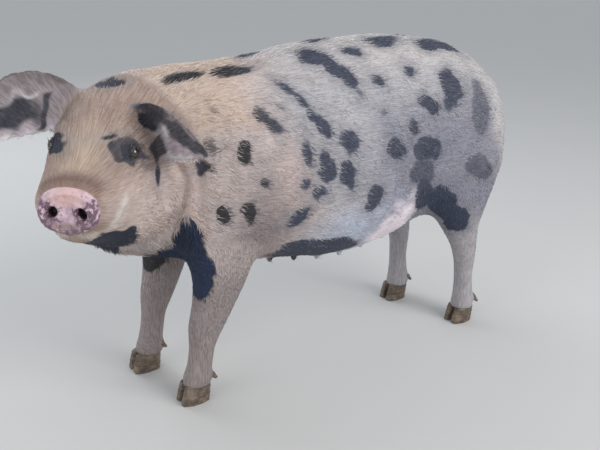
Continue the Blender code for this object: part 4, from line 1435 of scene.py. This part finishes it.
def make_horn(node, material):
    """A hoof or dewclaw with its edges worn round, and growth rings from the material."""
    shape = welded(node)
    crease_layer = shape.edges.layers.float.new("crease_edge")
    for edge in shape.edges:
        if edge.calc_face_angle(0) > math.radians(50):
            edge[crease_layer] = 0.72
    mesh = bpy.data.meshes.new(node + "_horn")
    shape.to_mesh(mesh)
    shape.free()
    made = bpy.data.objects.new(node + "_horn", mesh)
    bpy.context.scene.collection.objects.link(made)
    smooth = made.modifiers.new("smooth", "SUBSURF")
    smooth.levels = smooth.render_levels = 3
    apply_modifiers(made)
    places = read_points(made.data)
    normals = read_normals(made.data)
    places = places + normals * (0.0005 * waves(places * (0.3, 0.3, 1), 0.006, 61))[:, None]
    places[:, 2] = np.maximum(places[:, 2], 0)
    if node.startswith("dewclaw"):  # its root reaches into the pad
        root = places[:, 1].min()
        places[:, 1] -= 0.009 * ease(places[:, 1], root + 0.009, root)
    write_points(made.data, places)
    layer = made.data.attributes.new("lie", "FLOAT_VECTOR", "POINT")
    layer.data.foreach_set("vector", places.astype(np.float32).ravel())
    made.data.shade_smooth()
    made.data.materials.clear()
    made.data.materials.append(material)
    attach(made, "root")
    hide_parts(node)
    return made


# ---- camera, floor and light


CAMERA_PLACE = (1.484, -0.992, 0.99)  # in the body's frame


def ways_of_camera():
    azimuth, pitch, roll = (math.radians(angle) for angle in (55.9, 19.8, 1.9))
    back = Vector((math.sin(azimuth) * math.cos(pitch), -math.cos(azimuth) * math.cos(pitch), math.sin(pitch)))
    right = Vector((math.cos(azimuth), math.sin(azimuth), 0))
    upward = back.cross(right)
    rolled_right = right * math.cos(roll) + upward * math.sin(roll)
    rolled_up = upward * math.cos(roll) - right * math.sin(roll)
    return rolled_right, rolled_up, back


def set_camera():
    data = bpy.data.cameras.new("camera")
    data.sensor_width = 36
    data.lens = 47.22
    camera = bpy.data.objects.new("camera", data)
    bpy.context.scene.collection.objects.link(camera)
    turn = Matrix(ways_of_camera()).transposed().to_4x4()
    camera.matrix_world = Matrix.Translation(BODY_START + CAMERA_PLACE) @ turn
    bpy.context.scene.camera = camera


def area_light(name, place, target, size, power, tint):
    data = bpy.data.lights.new(name, "AREA")
    data.shape = "DISK"
    data.size = size
    data.energy = power
    data.color = tint
    light = bpy.data.objects.new(name, data)
    bpy.context.scene.collection.objects.link(light)
    way = Vector(target) - Vector(place)
    light.matrix_world = Matrix.Translation(place) @ way.to_track_quat("-Z", "Y").to_matrix().to_4x4()


def set_stage():
    shape = bmesh.new()
    bmesh.ops.create_grid(shape, x_segments=8, y_segments=8, size=30)
    mesh = bpy.data.meshes.new("studio_floor")
    shape.to_mesh(mesh)
    shape.free()
    mesh.materials.append(floor_material())
    floor = bpy.data.objects.new("studio_floor", mesh)
    bpy.context.scene.collection.objects.link(floor)
    world = bpy.data.worlds.new("studio")
    world.use_nodes = True
    sky = world.node_tree.nodes["Background"]
    sky.inputs["Color"].default_value = (0.82, 0.86, 0.92, 1)
    sky.inputs["Strength"].default_value = 0.80
    bpy.context.scene.world = world
    area_light("key", (2.9, 1.2, 2.2), (0, -0.1, 0.45), 2.6, 88, (1.0, 0.98, 0.96))
    area_light("fill", (-2.6, -0.6, 2.2), (0, 0, 0.5), 2.4, 35, (0.92, 0.96, 1.0))
    area_light("front", (0.6, -3.2, 1.2), (0, -0.3, 0.45), 2.4, 26, (1.0, 0.98, 0.96))
    bpy.context.scene.view_settings.view_transform = "Standard"


def main():
    skin, shares, edges = make_skin()
    mesh = skin.data
    places, normals = read_points(mesh), read_normals(mesh)
    fields = markings(places, normals, shares)
    for name, values in fields.items():
        store(mesh, name, values)
    layer = mesh.attributes.new("lie", "FLOAT_VECTOR", "POINT")
    layer.data.foreach_set("vector", streak_place(places, shares).astype(np.float32).ravel())
    mesh.materials.clear()
    mesh.materials.append(skin_material())
    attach(skin, "root")
    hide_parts(*FLESH)
    hair = coat_material()
    coat = grow_coat(skin, shares, fields, hair)
    lashes(hair, fields)
    eye = eye_material()
    for node in EYES:
        make_eye(node, eye)
    horn = horn_material()
    for node in sorted(NODES):
        if node.startswith(("hoof", "dewclaw")):
            make_horn(node, horn)


main()
set_stage()
set_camera()
